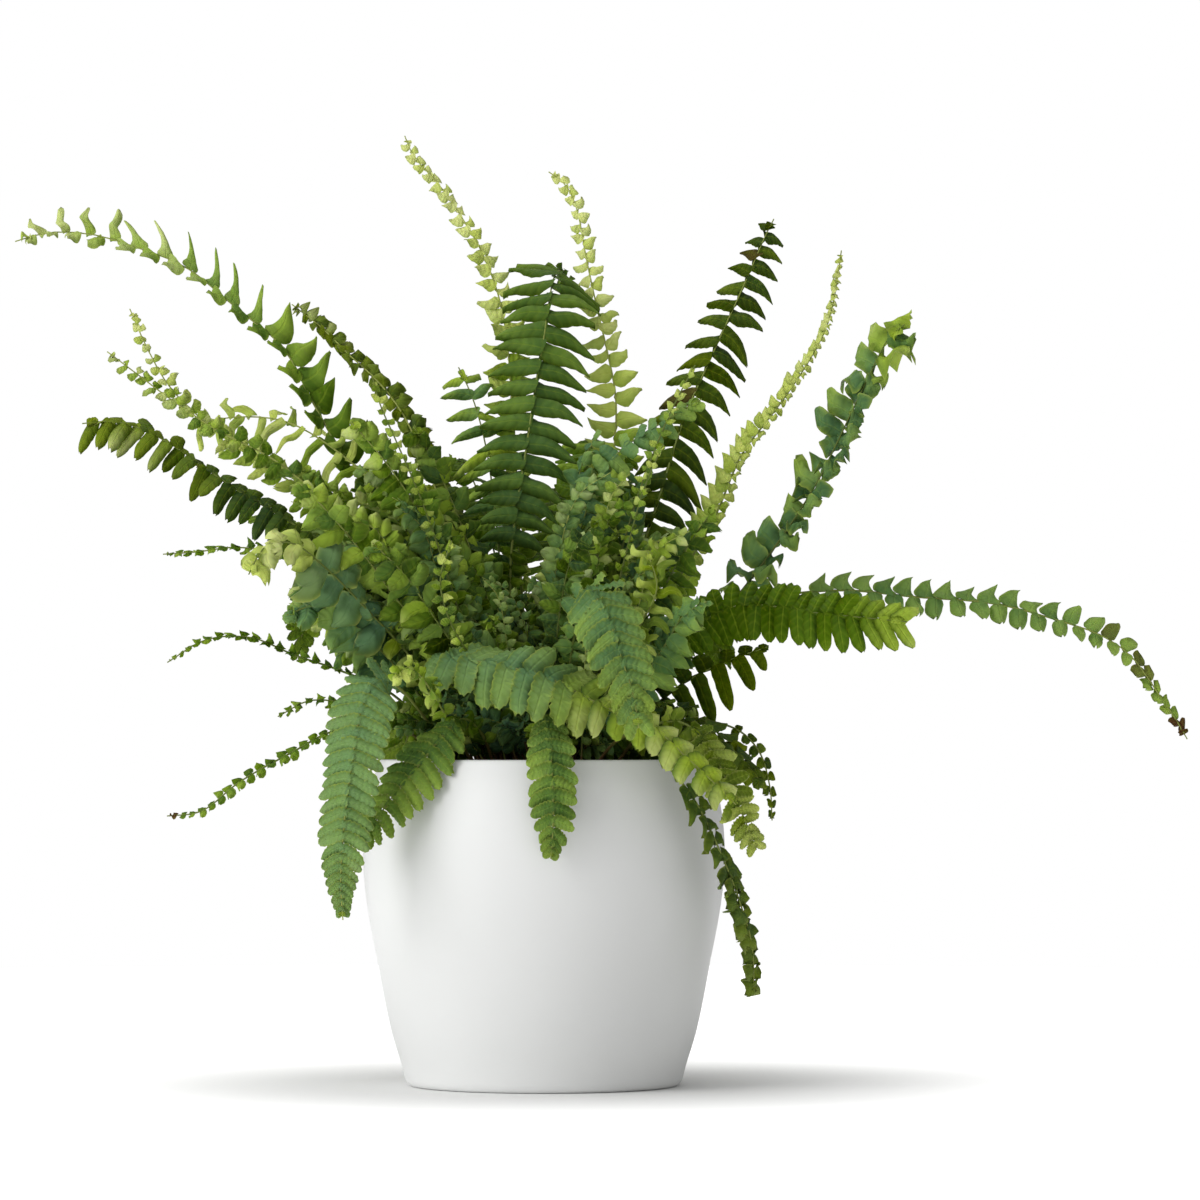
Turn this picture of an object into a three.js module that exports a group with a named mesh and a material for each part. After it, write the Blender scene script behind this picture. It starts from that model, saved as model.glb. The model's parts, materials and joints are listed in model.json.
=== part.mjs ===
import * as THREE from "three";

// A sword fern in a smooth white cover pot. Millimetres, z up, y away from the front.
// The origin is the centre of the pot's flat foot.

// cover pot
const POT_HEIGHT = 144;
const POT_WALL = 2.6;
const POT_FLOOR = 4;
const POT_SIDES = 40;
// outer radius against height, from the foot to the rim
const POT_PROFILE = [
  [57, 0], [60.6, 1.6], [62.2, 6.6], [67.2, 23], [73.8, 56], [79.1, 86], [80.1, 101], [78.2, 124],
  [73, 142.6],
];
const RIM_ROUND = 1.1;

// grow pot that stands inside the cover pot
const GROW_FOOT_RADIUS = 46;
const GROW_TOP_RADIUS = 62;
const GROW_TOP = 140;
const GROW_WALL = 1.2;
const GROW_LIP = 3;
const GROW_LIP_HEIGHT = 5;
const GROW_SIDES = 32;
const GAP = 0.35;

// soil block with a plain hole for each stem
const SOIL_TOP = 132;
const SOIL_EDGE_DROP = 3;
const SOIL_SIDES = 32;
const HOLE_DEPTH = 12;
const STEM_DEPTH = 11;

// fronds
const RIB_HALF_WIDTH = 0.95;
const RIB_KEEL = 1.5;
const RIB_TIP_SHARE = 0.6;
const BLADE_THICKNESS = 0.75;
const STEM_RISE = 5;
const STEM_STATIONS = 3;
const BLADE_END = 0.97;
// leaflet corners: how far out, and along the rib as a share of the root of the leaflet
const BACK_OUT = 0.5;
const FRONT_OUT = 0.64;
const PAIRED_SPREAD = -0.08;
const TURNED_SPREAD = 0.3;
const DEGREE = Math.PI / 180;
const CLEARANCE = 0.35;
const POT_CLEARANCE = 1.5;
const VIEW_X = 24.8;
const VIEW_Z = 150;
const VIEW_DISTANCE = 2380;

const TONES = {
  deep: 0x3f6b2c,
  dark: 0x33501f,
  mid: 0x5c8a38,
  blue: 0x5f8f66,
  light: 0xa3bf5e,
  olive: 0x87a03c,
};

// name, tone, leaflet pairs, leaflet length, start of the blade as a share of the length,
// direction that the upper face turns to, lift and forward sweep of the leaflets in degrees,
// how far their tips hang as a share of their length, 1 if they stand by turns left and right,
// root [x, y], then the route as seen from the front [x, z, depth]
const FRONDS = [
  ["front_drop", "blue", 10, 17, 0.42, [0, -1, 0.7], -8, 12, 0.12, 0, [6, -14],
    [[10, 176, -26], [15, 206, -46], [20, 218, -62], [26, 211, -76], [31, 200, -86], [34, 190, -92],
      [38, 178, -97], [41, 165, -100], [42, 158, -101]]],
  ["front_sweep", "blue", 13, 22, 0.3, [0.1, -1, 0.9], -6, 10, 0.12, 0, [-24, -25],
    [[-40, 164, -28], [-52, 186, -44], [-42, 189, -58], [-28, 187, -66], [-12, 184, -72], [2, 180, -76],
      [16, 173, -78], [32, 165, -80], [50, 157, -83], [62, 146, -85], [75, 134, -86], [85, 124, -85]]],
  ["left_drop", "blue", 12, 16, 0.34, [-0.2, -1, 0.3], -10, 8, 0.1, 0, [-34, -20],
    [[-54, 164, -38], [-66, 177, -54], [-75, 178, -64], [-81, 166, -73], [-84, 150, -78],
      [-87, 130, -81], [-89, 110, -82], [-90, 90, -81], [-89, 73, -79]]],
  ["left_slant", "mid", 9, 14, 0.38, [-0.2, -1, 0.5], -8, 12, 0.12, 0, [-20, -28],
    [[-28, 156, -42], [-36, 162, -52], [-46, 153, -60], [-56, 141, -65], [-66, 129, -66],
      [-76, 115, -65], [-82, 106, -63]]],
  ["centre_drop", "mid", 8, 12, 0.4, [0, -1, 0.3], -8, 8, 0.1, 0, [0, -32],
    [[-1, 155, -48], [0, 163, -62], [2, 157, -75], [3, 145, -83], [4, 130, -88], [4, 115, -90],
      [3, 100, -89]]],
  ["centre_upright", "deep", 15, 23, 0.36, [0, -1, 0.15], -4, 4, 0.22, 0, [-3, 2],
    [[-12, 180, 4], [-15, 225, 8], [-13, 250, 10], [-9, 275, 14], [-6, 295, 18], [-3, 315, 24],
      [0, 332, 29], [2, 346, 35], [4, 357, 46], [7, 361, 64], [10, 356, 84], [12, 345, 98]]],
  ["dark_right", "dark", 13, 17, 0.42, [-0.1, -1, 0.1], -6, 0, 0.38, 1, [9, 8],
    [[26, 200, 18], [46, 245, 28], [62, 295, 36], [73, 320, 42], [83, 342, 47], [92, 362, 52],
      [98, 376, 56], [102, 384, 60]]],
  ["curled_right", "blue", 11, 17, 0.4, [-0.8, -0.5, 0.3], 12, 10, -0.1, 1, [19, 2],
    [[46, 180, -4], [78, 208, -2], [100, 235, 3], [120, 265, 9], [135, 295, 14], [146, 318, 18],
      [153, 331, 18], [160, 337, 12]]],
  ["thin_right", "light", 12, 8, 0.36, [-0.9, -0.3, 0.2], 10, 30, 0.0, 1, [14, 12],
    [[34, 186, 14], [60, 225, 20], [75, 250, 25], [88, 280, 30], [98, 293, 33], [107, 305, 36],
      [117, 320, 40], [125, 335, 43], [129, 350, 46], [132, 370, 50]]],
  ["right_broad", "mid", 10, 15, 0.42, [0, -1, 0.45], -4, 6, 0.15, 0, [24, -10],
    [[44, 178, -22], [66, 202, -34], [85, 212, -40], [100, 212, -44], [120, 209, -48],
      [140, 207, -50], [161, 205, -51]]],
  ["right_arch", "mid", 18, 12, 0.4, [0, -0.8, 1], 10, 8, 0.05, 1, [24, 7],
    [[58, 192, 16], [96, 214, 22], [130, 219, 26], [165, 216, 29], [200, 213, 31], [230, 205, 33],
      [247, 199, 34], [260, 190, 35], [273, 172, 36], [281, 160, 37], [285, 153, 37]]],
  ["left_arch", "mid", 18, 18, 0.38, [0, -0.9, 0.75], 16, 6, -0.3, 1, [-16, 6],
    [[-42, 205, 12], [-68, 250, 18], [-85, 272, 22], [-103, 303, 26], [-116, 327, 30],
      [-135, 343, 34], [-160, 363, 38], [-180, 371, 40], [-200, 377, 42], [-220, 378, 43],
      [-235, 374, 43]]],
  ["tall_left", "light", 12, 10, 0.45, [0.3, -0.8, 0.1], 6, 14, 0.15, 1, [-4, 18],
    [[-10, 220, 28], [-14, 300, 44], [-19, 345, 52], [-28, 370, 57], [-35, 382, 60], [-42, 393, 63],
      [-50, 403, 66], [-58, 412, 69], [-62, 421, 72]]],
  ["tall_mid", "light", 12, 10, 0.45, [-0.3, -0.8, 0.1], 6, 14, 0.15, 1, [5, 18],
    [[22, 220, 26], [32, 300, 42], [28, 325, 48], [24, 342, 53], [19, 365, 60], [14, 390, 67],
      [9, 400, 70], [2, 405, 72]]],
  ["left_blue", "blue", 7, 17, 0.5, [0.2, -1, 0.1], -6, 0, 0.2, 0, [-8, 10],
    [[-18, 215, 20], [-23, 265, 30], [-27, 288, 34], [-32, 305, 38], [-38, 318, 42]]],
  ["left_short", "dark", 9, 7, 0.45, [-0.9, 0.2, 0.6], 10, 30, 0.1, 0, [-12, 16],
    [[-38, 235, 26], [-62, 296, 36], [-75, 313, 40], [-86, 323, 44], [-98, 335, 48],
      [-112, 346, 52]]],
  ["left_reach", "dark", 12, 16, 0.4, [0, -1, 0.6], -10, 12, 0.5, 1, [-24, -8],
    [[-56, 205, -20], [-92, 236, -28], [-112, 249, -32], [-140, 266, -36], [-158, 279, -38],
      [-175, 289, -40], [-190, 294, -41], [-205, 293, -41]]],
  ["left_fork", "mid", 10, 10, 0.5, [-0.4, -0.8, 0.5], 10, 20, 0.1, 0, [-20, 0],
    [[-52, 212, -4], [-90, 252, -6], [-120, 277, -8], [-145, 290, -10], [-166, 304, -11],
      [-182, 316, -12], [-194, 325, -12]]],
  ["left_light", "light", 8, 9, 0.55, [-0.5, -0.8, 0.2], 10, 20, 0.1, 0, [-22, 8],
    [[-58, 215, 8], [-96, 256, 4], [-130, 278, 0], [-152, 295, -2], [-166, 309, -3],
      [-176, 326, -4], [-184, 344, -4]]],
  ["left_curtain", "light", 10, 13, 0.5, [0, -1, 0.5], -12, 4, 0.3, 1, [-18, 12],
    [[-44, 215, 14], [-72, 262, 16], [-95, 283, 18], [-115, 294, 20], [-135, 296, 20],
      [-156, 293, 19]]],
  ["left_crinkle", "olive", 8, 17, 0.45, [-0.2, -1, 0.4], -6, 6, 0.15, 0, [-30, -14],
    [[-56, 185, -34], [-80, 212, -56], [-98, 230, -72], [-112, 240, -84], [-124, 238, -94],
      [-131, 226, -99]]],
  ["left_leaf_low", "blue", 7, 14, 0.42, [-0.3, -1, 0.5], -6, 8, 0.15, 0, [-32, -4],
    [[-52, 168, -22], [-72, 192, -40], [-88, 206, -52], [-102, 212, -60], [-114, 208, -65]]],
  ["left_wisp", "mid", 9, 5, 0.4, [0, -0.6, 1], 14, 20, -0.1, 0, [-36, 2],
    [[-66, 172, -2], [-92, 184, -6], [-110, 190, -8], [-130, 198, -10], [-150, 197, -11],
      [-167, 187, -12]]],
  ["left_low_wisp", "mid", 9, 5, 0.42, [0, -0.6, 1], 10, 20, 0.1, 0, [-38, -8],
    [[-64, 158, -18], [-92, 157, -28], [-112, 147, -32], [-135, 134, -34], [-152, 121, -35],
      [-167, 119, -36]]],
  ["left_stub", "mid", 4, 5, 0.55, [0, -0.6, 1], 10, 20, 0, 0, [-34, 12],
    [[-62, 162, 10], [-88, 169, 6], [-104, 170, 4], [-118, 163, 2]]],
  ["left_mid_wisp", "mid", 7, 6, 0.55, [0, -0.6, 1], 10, 20, 0, 0, [-30, 8],
    [[-60, 195, 2], [-96, 226, -4], [-120, 236, -8], [-138, 238, -10], [-154, 236, -11],
      [-169, 235, -12]]],
  ["left_inner_a", "mid", 8, 15, 0.4, [-0.2, -1, 0.4], -4, 10, 0.15, 0, [-14, -6],
    [[-28, 196, -14], [-44, 232, -22], [-58, 258, -30], [-72, 278, -36], [-86, 294, -42]]],
  ["left_inner_b", "deep", 7, 14, 0.42, [0.2, -1, 0.3], -4, 8, 0.15, 0, [-10, -2],
    [[-22, 200, -6], [-36, 246, -10], [-47, 272, -14], [-58, 292, -18]]],
  ["left_inner_c", "mid", 8, 15, 0.4, [-0.3, -1, 0.5], -6, 10, 0.15, 0, [-26, -20],
    [[-44, 186, -34], [-66, 216, -50], [-84, 240, -62], [-98, 256, -70], [-108, 266, -76]]],
  ["left_inner_d", "deep", 7, 14, 0.38, [-0.1, -1, 0.5], -6, 8, 0.15, 0, [-16, -22],
    [[-30, 178, -36], [-48, 206, -52], [-62, 226, -64], [-76, 240, -74]]],
  ["left_back", "mid", 7, 14, 0.4, [-0.3, -0.8, 0.7], -4, 8, 0.15, 0, [-28, 2],
    [[-50, 205, 2], [-76, 244, 0], [-94, 262, -2], [-108, 274, -4]]],
  ["young_left", "light", 7, 8, 0.5, [0.4, -1, 0.3], 6, 20, 0.1, 0, [-18, -12],
    [[-38, 210, -26], [-54, 258, -38], [-66, 286, -44], [-73, 302, -48], [-76, 313, -50]]],
  ["young_centre", "light", 6, 8, 0.45, [0.3, -1, 0.3], 6, 20, 0.1, 0, [-10, -20],
    [[-26, 178, -44], [-42, 206, -66], [-46, 224, -74], [-41, 241, -80]]],
  ["young_front", "light", 4, 6, 0.6, [0, -1, 0.5], 6, 20, 0, 0, [-28, -30],
    [[-45, 166, -56], [-54, 180, -82], [-60, 185, -92], [-66, 180, -97]]],
  ["young_right", "light", 6, 8, 0.55, [-0.3, -1, 0.2], 6, 20, 0.1, 0, [12, -2],
    [[26, 205, -6], [42, 262, -12], [53, 291, -14], [60, 306, -15], [67, 319, -16]]],
  ["young_right_low", "light", 6, 7, 0.45, [-0.3, -1, 0.3], 6, 20, 0.1, 0, [16, -8],
    [[26, 190, -20], [38, 242, -32], [45, 266, -37], [53, 284, -40]]],
  ["right_row", "blue", 7, 10, 0.5, [-0.2, -1, 0.5], -4, 10, 0.15, 0, [6, 2],
    [[10, 200, 2], [18, 252, -2], [32, 279, -5], [50, 292, -8], [70, 304, -10]]],
  ["right_bright", "olive", 6, 12, 0.45, [-0.3, -1, 0.4], -4, 10, 0.1, 0, [14, -20],
    [[26, 170, -40], [42, 202, -58], [50, 220, -66], [46, 236, -72]]],
  ["right_cluster", "mid", 7, 14, 0.4, [-0.3, -1, 0.4], -4, 8, 0.2, 0, [22, -4],
    [[36, 186, -8], [54, 222, -16], [66, 242, -20], [76, 256, -22]]],
  ["right_lower_blue", "blue", 6, 13, 0.42, [0.1, -1, 0.6], -6, 8, 0.2, 0, [20, -22],
    [[36, 166, -40], [52, 192, -58], [62, 208, -68], [72, 214, -76]]],
  ["right_dark_low", "dark", 6, 16, 0.4, [0.2, -1, 0.1], -8, 4, 0.5, 1, [30, -2],
    [[46, 164, -8], [62, 178, -14], [80, 187, -18], [99, 194, -20]]],
  ["right_olive", "olive", 7, 11, 0.5, [0.2, -1, 0.4], -8, 6, 0.1, 0, [28, -24],
    [[46, 158, -42], [62, 160, -56], [74, 148, -64], [82, 132, -67], [89, 117, -67],
      [94, 104, -66]]],
  ["right_drop", "dark", 12, 8, 0.42, [0.7, -0.7, 0.2], 4, 20, 0.2, 0, [20, -32],
    [[32, 152, -54], [42, 155, -66], [54, 142, -70], [66, 127, -68], [74, 112, -62],
      [81, 96, -56], [87, 80, -50], [92, 62, -45], [93, 40, -41]]],
  ["right_dark_side", "dark", 7, 10, 0.45, [0.3, -1, 0.6], -6, 8, 0.2, 0, [34, -14],
    [[52, 156, -26], [70, 158, -36], [84, 148, -40], [97, 133, -41]]],
  ["right_bare", "dark", 4, 4, 0.55, [0.3, -1, 0.3], 0, 20, 0.1, 0, [36, -6],
    [[60, 160, -12], [84, 158, -18], [95, 148, -20], [100, 132, -21], [101, 117, -21]]],
  ["centre_inner", "deep", 7, 13, 0.38, [0.2, -1, 0.5], -4, 8, 0.15, 0, [0, -10],
    [[4, 180, -26], [8, 216, -42], [14, 238, -52], [24, 250, -60]]],
  ["back_centre", "deep", 8, 20, 0.3, null, -4, 10, 0.15, 0, [2, 26],
    [[2, 190, 50], [3, 240, 88], [4, 262, 126], [6, 258, 164], [6, 236, 198]]],
  ["back_left", "mid", 8, 19, 0.3, null, -4, 10, 0.15, 0, [-12, 26],
    [[-20, 190, 48], [-40, 238, 82], [-54, 260, 116], [-66, 254, 150], [-74, 232, 176]]],
  ["back_right", "mid", 7, 18, 0.3, null, -4, 10, 0.15, 0, [14, 24],
    [[20, 190, 46], [38, 232, 78], [50, 246, 110], [58, 236, 144], [62, 210, 170]]],
  ["back_left_wide", "deep", 7, 18, 0.32, null, -4, 10, 0.15, 0, [-24, 20],
    [[-38, 180, 40], [-66, 214, 68], [-88, 224, 96], [-102, 214, 120], [-110, 190, 138]]],
  ["back_right_wide", "deep", 7, 16, 0.32, null, -4, 10, 0.15, 0, [26, 18],
    [[38, 176, 38], [58, 202, 66], [72, 206, 96], [80, 186, 126]]],
  ["back_drop", "blue", 7, 17, 0.32, null, -6, 10, 0.15, 0, [-2, 38],
    [[-5, 160, 60], [-8, 174, 88], [-10, 162, 114], [-11, 136, 130], [-11, 108, 138]]],
  ["back_drop_left", "mid", 7, 16, 0.32, null, -6, 10, 0.15, 0, [-26, 32],
    [[-38, 158, 52], [-52, 168, 78], [-62, 150, 100], [-68, 118, 112]]],
  ["back_drop_right", "blue", 7, 16, 0.32, null, -6, 10, 0.15, 0, [22, 34],
    [[32, 158, 56], [44, 166, 84], [54, 148, 106], [60, 114, 118]]],
  ["back_tall", "mid", 7, 16, 0.36, null, -4, 12, 0.15, 0, [4, 34],
    [[10, 200, 52], [16, 256, 78], [20, 282, 106], [22, 282, 134], [22, 262, 158]]],
  ["back_tall_left", "deep", 7, 15, 0.36, null, -4, 12, 0.15, 0, [-10, 34],
    [[-16, 200, 50], [-26, 252, 74], [-36, 276, 100], [-42, 272, 128]]],
  ["back_left_high", "mid", 7, 14, 0.4, null, -4, 12, 0.15, 0, [-26, 15],
    [[-48, 190, 28], [-80, 226, 50], [-108, 248, 68], [-134, 252, 82]]],
];

const group = new THREE.Group();

function addMesh(name, geometry, color, roughness) {
  const material = new THREE.MeshStandardMaterial({ color, roughness, metalness: 0 });
  const mesh = new THREE.Mesh(geometry, material);
  mesh.name = name;
  group.add(mesh);
}

function indexed(vertices, triangles) {
  const geometry = new THREE.BufferGeometry();
  geometry.setAttribute("position", new THREE.Float32BufferAttribute(vertices.flat(), 3));
  geometry.setIndex(triangles.flat());
  geometry.computeVertexNormals();
  return geometry;
}

// turns a closed outline of [radius, height] about the z axis
function turned(outline, sides) {
  const points = outline.map(([r, z]) => new THREE.Vector2(r, z));
  const geometry = new THREE.LatheGeometry(points, sides);
  geometry.rotateX(Math.PI / 2);
  return geometry;
}

function profileRadius(z) {
  for (let i = 1; i < POT_PROFILE.length; i += 1) {
    const [r0, z0] = POT_PROFILE[i - 1];
    const [r1, z1] = POT_PROFILE[i];
    if (z <= z1) {
      return r0 + (r1 - r0) * Math.max(0, (z - z0) / (z1 - z0));
    }
  }
  return POT_PROFILE[POT_PROFILE.length - 1][0];
}

function potOutline() {
  const rim = POT_PROFILE[POT_PROFILE.length - 1];
  const outline = [[0, 0], ...POT_PROFILE];
  outline.push([rim[0] - RIM_ROUND * 0.5, POT_HEIGHT]);
  outline.push([rim[0] - POT_WALL + RIM_ROUND * 0.3, POT_HEIGHT]);
  for (const z of [142.6, 124, 101, 56, POT_FLOOR + 3]) {
    outline.push([profileRadius(z) - POT_WALL, z]);
  }
  outline.push([profileRadius(POT_FLOOR) - POT_WALL - 3, POT_FLOOR]);
  outline.push([0, POT_FLOOR]);
  return outline;
}

function growPotRadius(z) {
  const foot = POT_FLOOR + GAP;
  return GROW_FOOT_RADIUS + ((GROW_TOP_RADIUS - GROW_FOOT_RADIUS) * (z - foot)) / (GROW_TOP - foot);
}

function growPotOutline() {
  const foot = POT_FLOOR + GAP;
  const lipFoot = GROW_TOP - GROW_LIP_HEIGHT;
  return [
    [0, foot],
    [GROW_FOOT_RADIUS, foot],
    [growPotRadius(lipFoot), lipFoot],
    [GROW_TOP_RADIUS + GROW_LIP, lipFoot],
    [GROW_TOP_RADIUS + GROW_LIP, GROW_TOP],
    [GROW_TOP_RADIUS - GROW_WALL, GROW_TOP],
    [GROW_FOOT_RADIUS - GROW_WALL, foot + GROW_WALL],
    [0, foot + GROW_WALL],
  ];
}

// a block with a flat top that is pierced by blind holes, and a lower edge ring round it
function soilGeometry(holes) {
  const bottom = POT_FLOOR + GAP + GROW_WALL + GAP;
  const edge = SOIL_TOP - SOIL_EDGE_DROP;
  const rings = [
    [growPotRadius(SOIL_TOP) - GROW_WALL - 8, SOIL_TOP],
    [growPotRadius(edge) - GROW_WALL - GAP, edge],
    [growPotRadius(bottom) - GROW_WALL - GAP - 0.1, bottom],
  ];
  const vertices = [];
  const triangles = [];
  for (const [radius, z] of rings) {
    for (let i = 0; i < SOIL_SIDES; i += 1) {
      const angle = (2 * Math.PI * i) / SOIL_SIDES;
      vertices.push([radius * Math.cos(angle), radius * Math.sin(angle), z]);
    }
  }
  for (let ring = 1; ring < rings.length; ring += 1) {
    for (let i = 0; i < SOIL_SIDES; i += 1) {
      const next = (i + 1) % SOIL_SIDES;
      const upper = (ring - 1) * SOIL_SIDES;
      const lower = ring * SOIL_SIDES;
      triangles.push([upper + i, lower + i, lower + next], [upper + i, lower + next, upper + next]);
    }
  }
  const centre = vertices.length;
  vertices.push([0, 0, bottom]);
  for (let i = 0; i < SOIL_SIDES; i += 1) {
    const lower = (rings.length - 1) * SOIL_SIDES;
    triangles.push([centre, lower + ((i + 1) % SOIL_SIDES), lower + i]);
  }
  const contour = vertices.slice(0, SOIL_SIDES).map(([x, y]) => new THREE.Vector2(x, y));
  const starts = [];
  for (const hole of holes) {
    starts.push(vertices.length);
    hole.forEach(([x, y]) => vertices.push([x, y, SOIL_TOP]));
    hole.forEach(([x, y]) => vertices.push([x, y, SOIL_TOP - HOLE_DEPTH]));
  }
  const flatHoles = holes.map((hole) => hole.map(([x, y]) => new THREE.Vector2(x, y)));
  const lookup = contour.map((_, i) => i);
  holes.forEach((hole, h) => hole.forEach((_, i) => lookup.push(starts[h] + i)));
  const faces = THREE.ShapeUtils.triangulateShape(contour, flatHoles);
  faces.forEach((face) => triangles.push(face.map((corner) => lookup[corner])));
  holes.forEach((hole, h) => {
    const size = hole.length;
    for (let i = 0; i < size; i += 1) {
      const next = (i + 1) % size;
      const [a, b] = [starts[h] + i, starts[h] + next];
      triangles.push([a, a + size, b + size], [a, b + size, b]);
    }
    for (let i = 1; i < size - 1; i += 1) {
      triangles.push([starts[h] + size, starts[h] + size + i + 1, starts[h] + size + i]);
    }
  });
  return indexed(vertices, triangles);
}

// a point of a route, moved in or out for its distance from the front view
function placed([x, z, y]) {
  const scale = 1 + y / VIEW_DISTANCE;
  return new THREE.Vector3(VIEW_X + (x - VIEW_X) * scale, y, VIEW_Z + (z - VIEW_Z) * scale);
}

function frondPath(frond) {
  const [x, y] = frond.root;
  const points = [new THREE.Vector3(x, y, SOIL_TOP + STEM_RISE), ...frond.route.map(placed)];
  return new THREE.CatmullRomCurve3(points, false, "centripetal");
}

// leaflet length along the blade, 0 at its first leaflet and 1 at its tip
function leafletShare(t) {
  const rise = Math.min(1, 0.62 + 1.5 * t);
  const fall = t < 0.5 ? 1 : 1 - 0.65 * ((t - 0.5) / 0.5) ** 2;
  return rise * fall;
}

function ribStations(frond) {
  const curve = frondPath(frond);
  const shares = [];
  for (let i = 0; i < STEM_STATIONS; i += 1) {
    shares.push((frond.start * i) / STEM_STATIONS);
  }
  const steps = frond.pairs * (frond.byTurns ? 2 : 1);
  for (let i = 0; i <= steps; i += 1) {
    shares.push(frond.start + ((1 - frond.start) * BLADE_END * i) / steps);
  }
  const last = frond.route[frond.route.length - 1];
  const tip = placed(last);
  const outward = new THREE.Vector3(tip.x - frond.root[0], tip.y - frond.root[1], 0).normalize();
  const across = new THREE.Vector3(-outward.y, outward.x, 0);
  return shares.map((share) => {
    const point = curve.getPointAt(share);
    const along = curve.getTangentAt(Math.max(share, 0.001)).normalize();
    const face = new THREE.Vector3();
    if (frond.face) {
      face.set(...frond.face);
    } else {
      face.crossVectors(along, across);
    }
    face.addScaledVector(along, -face.dot(along)).normalize();
    const side = new THREE.Vector3().crossVectors(face, along);
    const size = 1 - (1 - RIB_TIP_SHARE) * share;
    return { share, point, along, face, side, size };
  });
}

// corners of the rib, three to a ring: the foot in its hole, then each station
function ribRings(frond) {
  const stations = ribStations(frond);
  const rings = stations.map(({ point, side, face, size }) => [
    point.clone().addScaledVector(side, -RIB_HALF_WIDTH * size),
    point.clone().addScaledVector(side, RIB_HALF_WIDTH * size),
    point.clone().addScaledVector(face, -RIB_KEEL * size),
  ]);
  const foot = rings[0].map((corner) => corner.clone().setZ(SOIL_TOP - STEM_DEPTH));
  return { stations, rings: [foot, ...rings] };
}

// five corners of a leaflet's upper face and two below it, out from rings a and b of the rib
function leafletCorners(frond, a, b, hand, lift, share) {
  const t = (0.5 * (a.share + b.share) - frond.start) / (1 - frond.start);
  const length = frond.length * leafletShare(t) * share;
  const outline = [];
  const reach = (station, out, forward) => {
    const side = station.side.clone().multiplyScalar(hand);
    const flat = side.multiplyScalar(Math.cos(frond.sweep * DEGREE));
    flat.addScaledVector(station.along, Math.sin(frond.sweep * DEGREE));
    const raised = flat.multiplyScalar(Math.cos(lift * DEGREE));
    raised.addScaledVector(station.face, Math.sin(lift * DEGREE));
    const edge = RIB_HALF_WIDTH * station.size * hand;
    const start = station.point.clone().addScaledVector(station.side, edge);
    return start.addScaledVector(raised, out).addScaledVector(station.along, forward);
  };
  const base = a.point.distanceTo(b.point);
  const spread = base * (frond.byTurns ? TURNED_SPREAD : PAIRED_SPREAD);
  const back = reach(a, length * BACK_OUT, -spread);
  const front = reach(b, length * FRONT_OUT, spread);
  const tip = reach(a, length, 0).lerp(reach(b, length, 0), 0.62);
  const drop = length * frond.droop;
  [back, front].forEach((corner) => corner.setZ(corner.z - drop * 0.25));
  tip.setZ(tip.z - drop);
  const below = (corner) => corner.clone().addScaledVector(a.face, -BLADE_THICKNESS);
  outline.push(front, tip, back, below(front), below(back));
  return outline;
}

// true if some axis keeps two convex sets of corners apart by the clearance
function apart(first, second) {
  const axis = new THREE.Vector3();
  const test = () => {
    const size = axis.length();
    if (size < 1e-6) {
      return false;
    }
    axis.divideScalar(size);
    let [lowA, highA, lowB, highB] = [Infinity, -Infinity, Infinity, -Infinity];
    for (const corner of first.corners) {
      const d = corner.dot(axis);
      lowA = Math.min(lowA, d);
      highA = Math.max(highA, d);
    }
    for (const corner of second.corners) {
      const d = corner.dot(axis);
      lowB = Math.min(lowB, d);
      highB = Math.max(highB, d);
    }
    return lowB - highA > CLEARANCE || lowA - highB > CLEARANCE;
  };
  for (const normal of [...first.normals, ...second.normals]) {
    axis.copy(normal);
    if (test()) {
      return true;
    }
  }
  for (const a of first.edges) {
    for (const b of second.edges) {
      axis.crossVectors(a, b);
      if (test()) {
        return true;
      }
    }
  }
  return false;
}

// a convex solid for the clearance test, from its corners and its main edges
function solid(owner, corners, edgePairs) {
  const edges = edgePairs.map(([a, b]) => corners[b].clone().sub(corners[a]).normalize());
  const normals = [];
  for (let i = 0; i < edges.length; i += 1) {
    for (let j = i + 1; j < edges.length; j += 1) {
      normals.push(new THREE.Vector3().crossVectors(edges[i], edges[j]));
    }
  }
  const box = new THREE.Box3().setFromPoints(corners);
  return { owner, corners, edges, normals, box: box.expandByScalar(CLEARANCE / 2) };
}

const RIB_EDGES = [[0, 1], [1, 2], [2, 0], [0, 3], [2, 5]];
const LEAFLET_EDGES = [[0, 1], [0, 2], [0, 4], [1, 5], [4, 5], [5, 6], [4, 6], [4, 7]];

function ribSolids(owner, rings) {
  const solids = [];
  for (let i = 1; i < rings.length; i += 1) {
    solids.push(solid(owner, [...rings[i - 1], ...rings[i]], RIB_EDGES));
  }
  return solids;
}

function leafletSolid(owner, ringA, ringB, hand, outline) {
  const corner = hand > 0 ? 1 : 0;
  const root = [ringA[corner], ringB[corner], ringA[2], ringB[2]];
  return solid(owner, [...root, ...outline], LEAFLET_EDGES);
}

function clearOfPot(leaflet) {
  const samples = [...leaflet.corners];
  const [a, b, , , front, tip, back] = leaflet.corners;
  samples.push(a.clone().lerp(back, 0.5), b.clone().lerp(front, 0.5), front.clone().lerp(tip, 0.5));
  samples.push(back.clone().lerp(tip, 0.5), back.clone().lerp(front, 0.5));
  return samples.every(({ x, y, z }) => {
    const radius = Math.hypot(x, y);
    if (z > POT_HEIGHT + POT_CLEARANCE) {
      return true;
    }
    if (radius > GROW_TOP_RADIUS - 6) {
      return radius > profileRadius(z) + POT_CLEARANCE;
    }
    return z > SOIL_TOP + POT_CLEARANCE;
  });
}

function isFree(leaflet, placedSolids) {
  return placedSolids.every((other) => {
    if (other.owner === leaflet.owner || !other.box.intersectsBox(leaflet.box)) {
      return true;
    }
    return apart(leaflet, other);
  });
}

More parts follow.
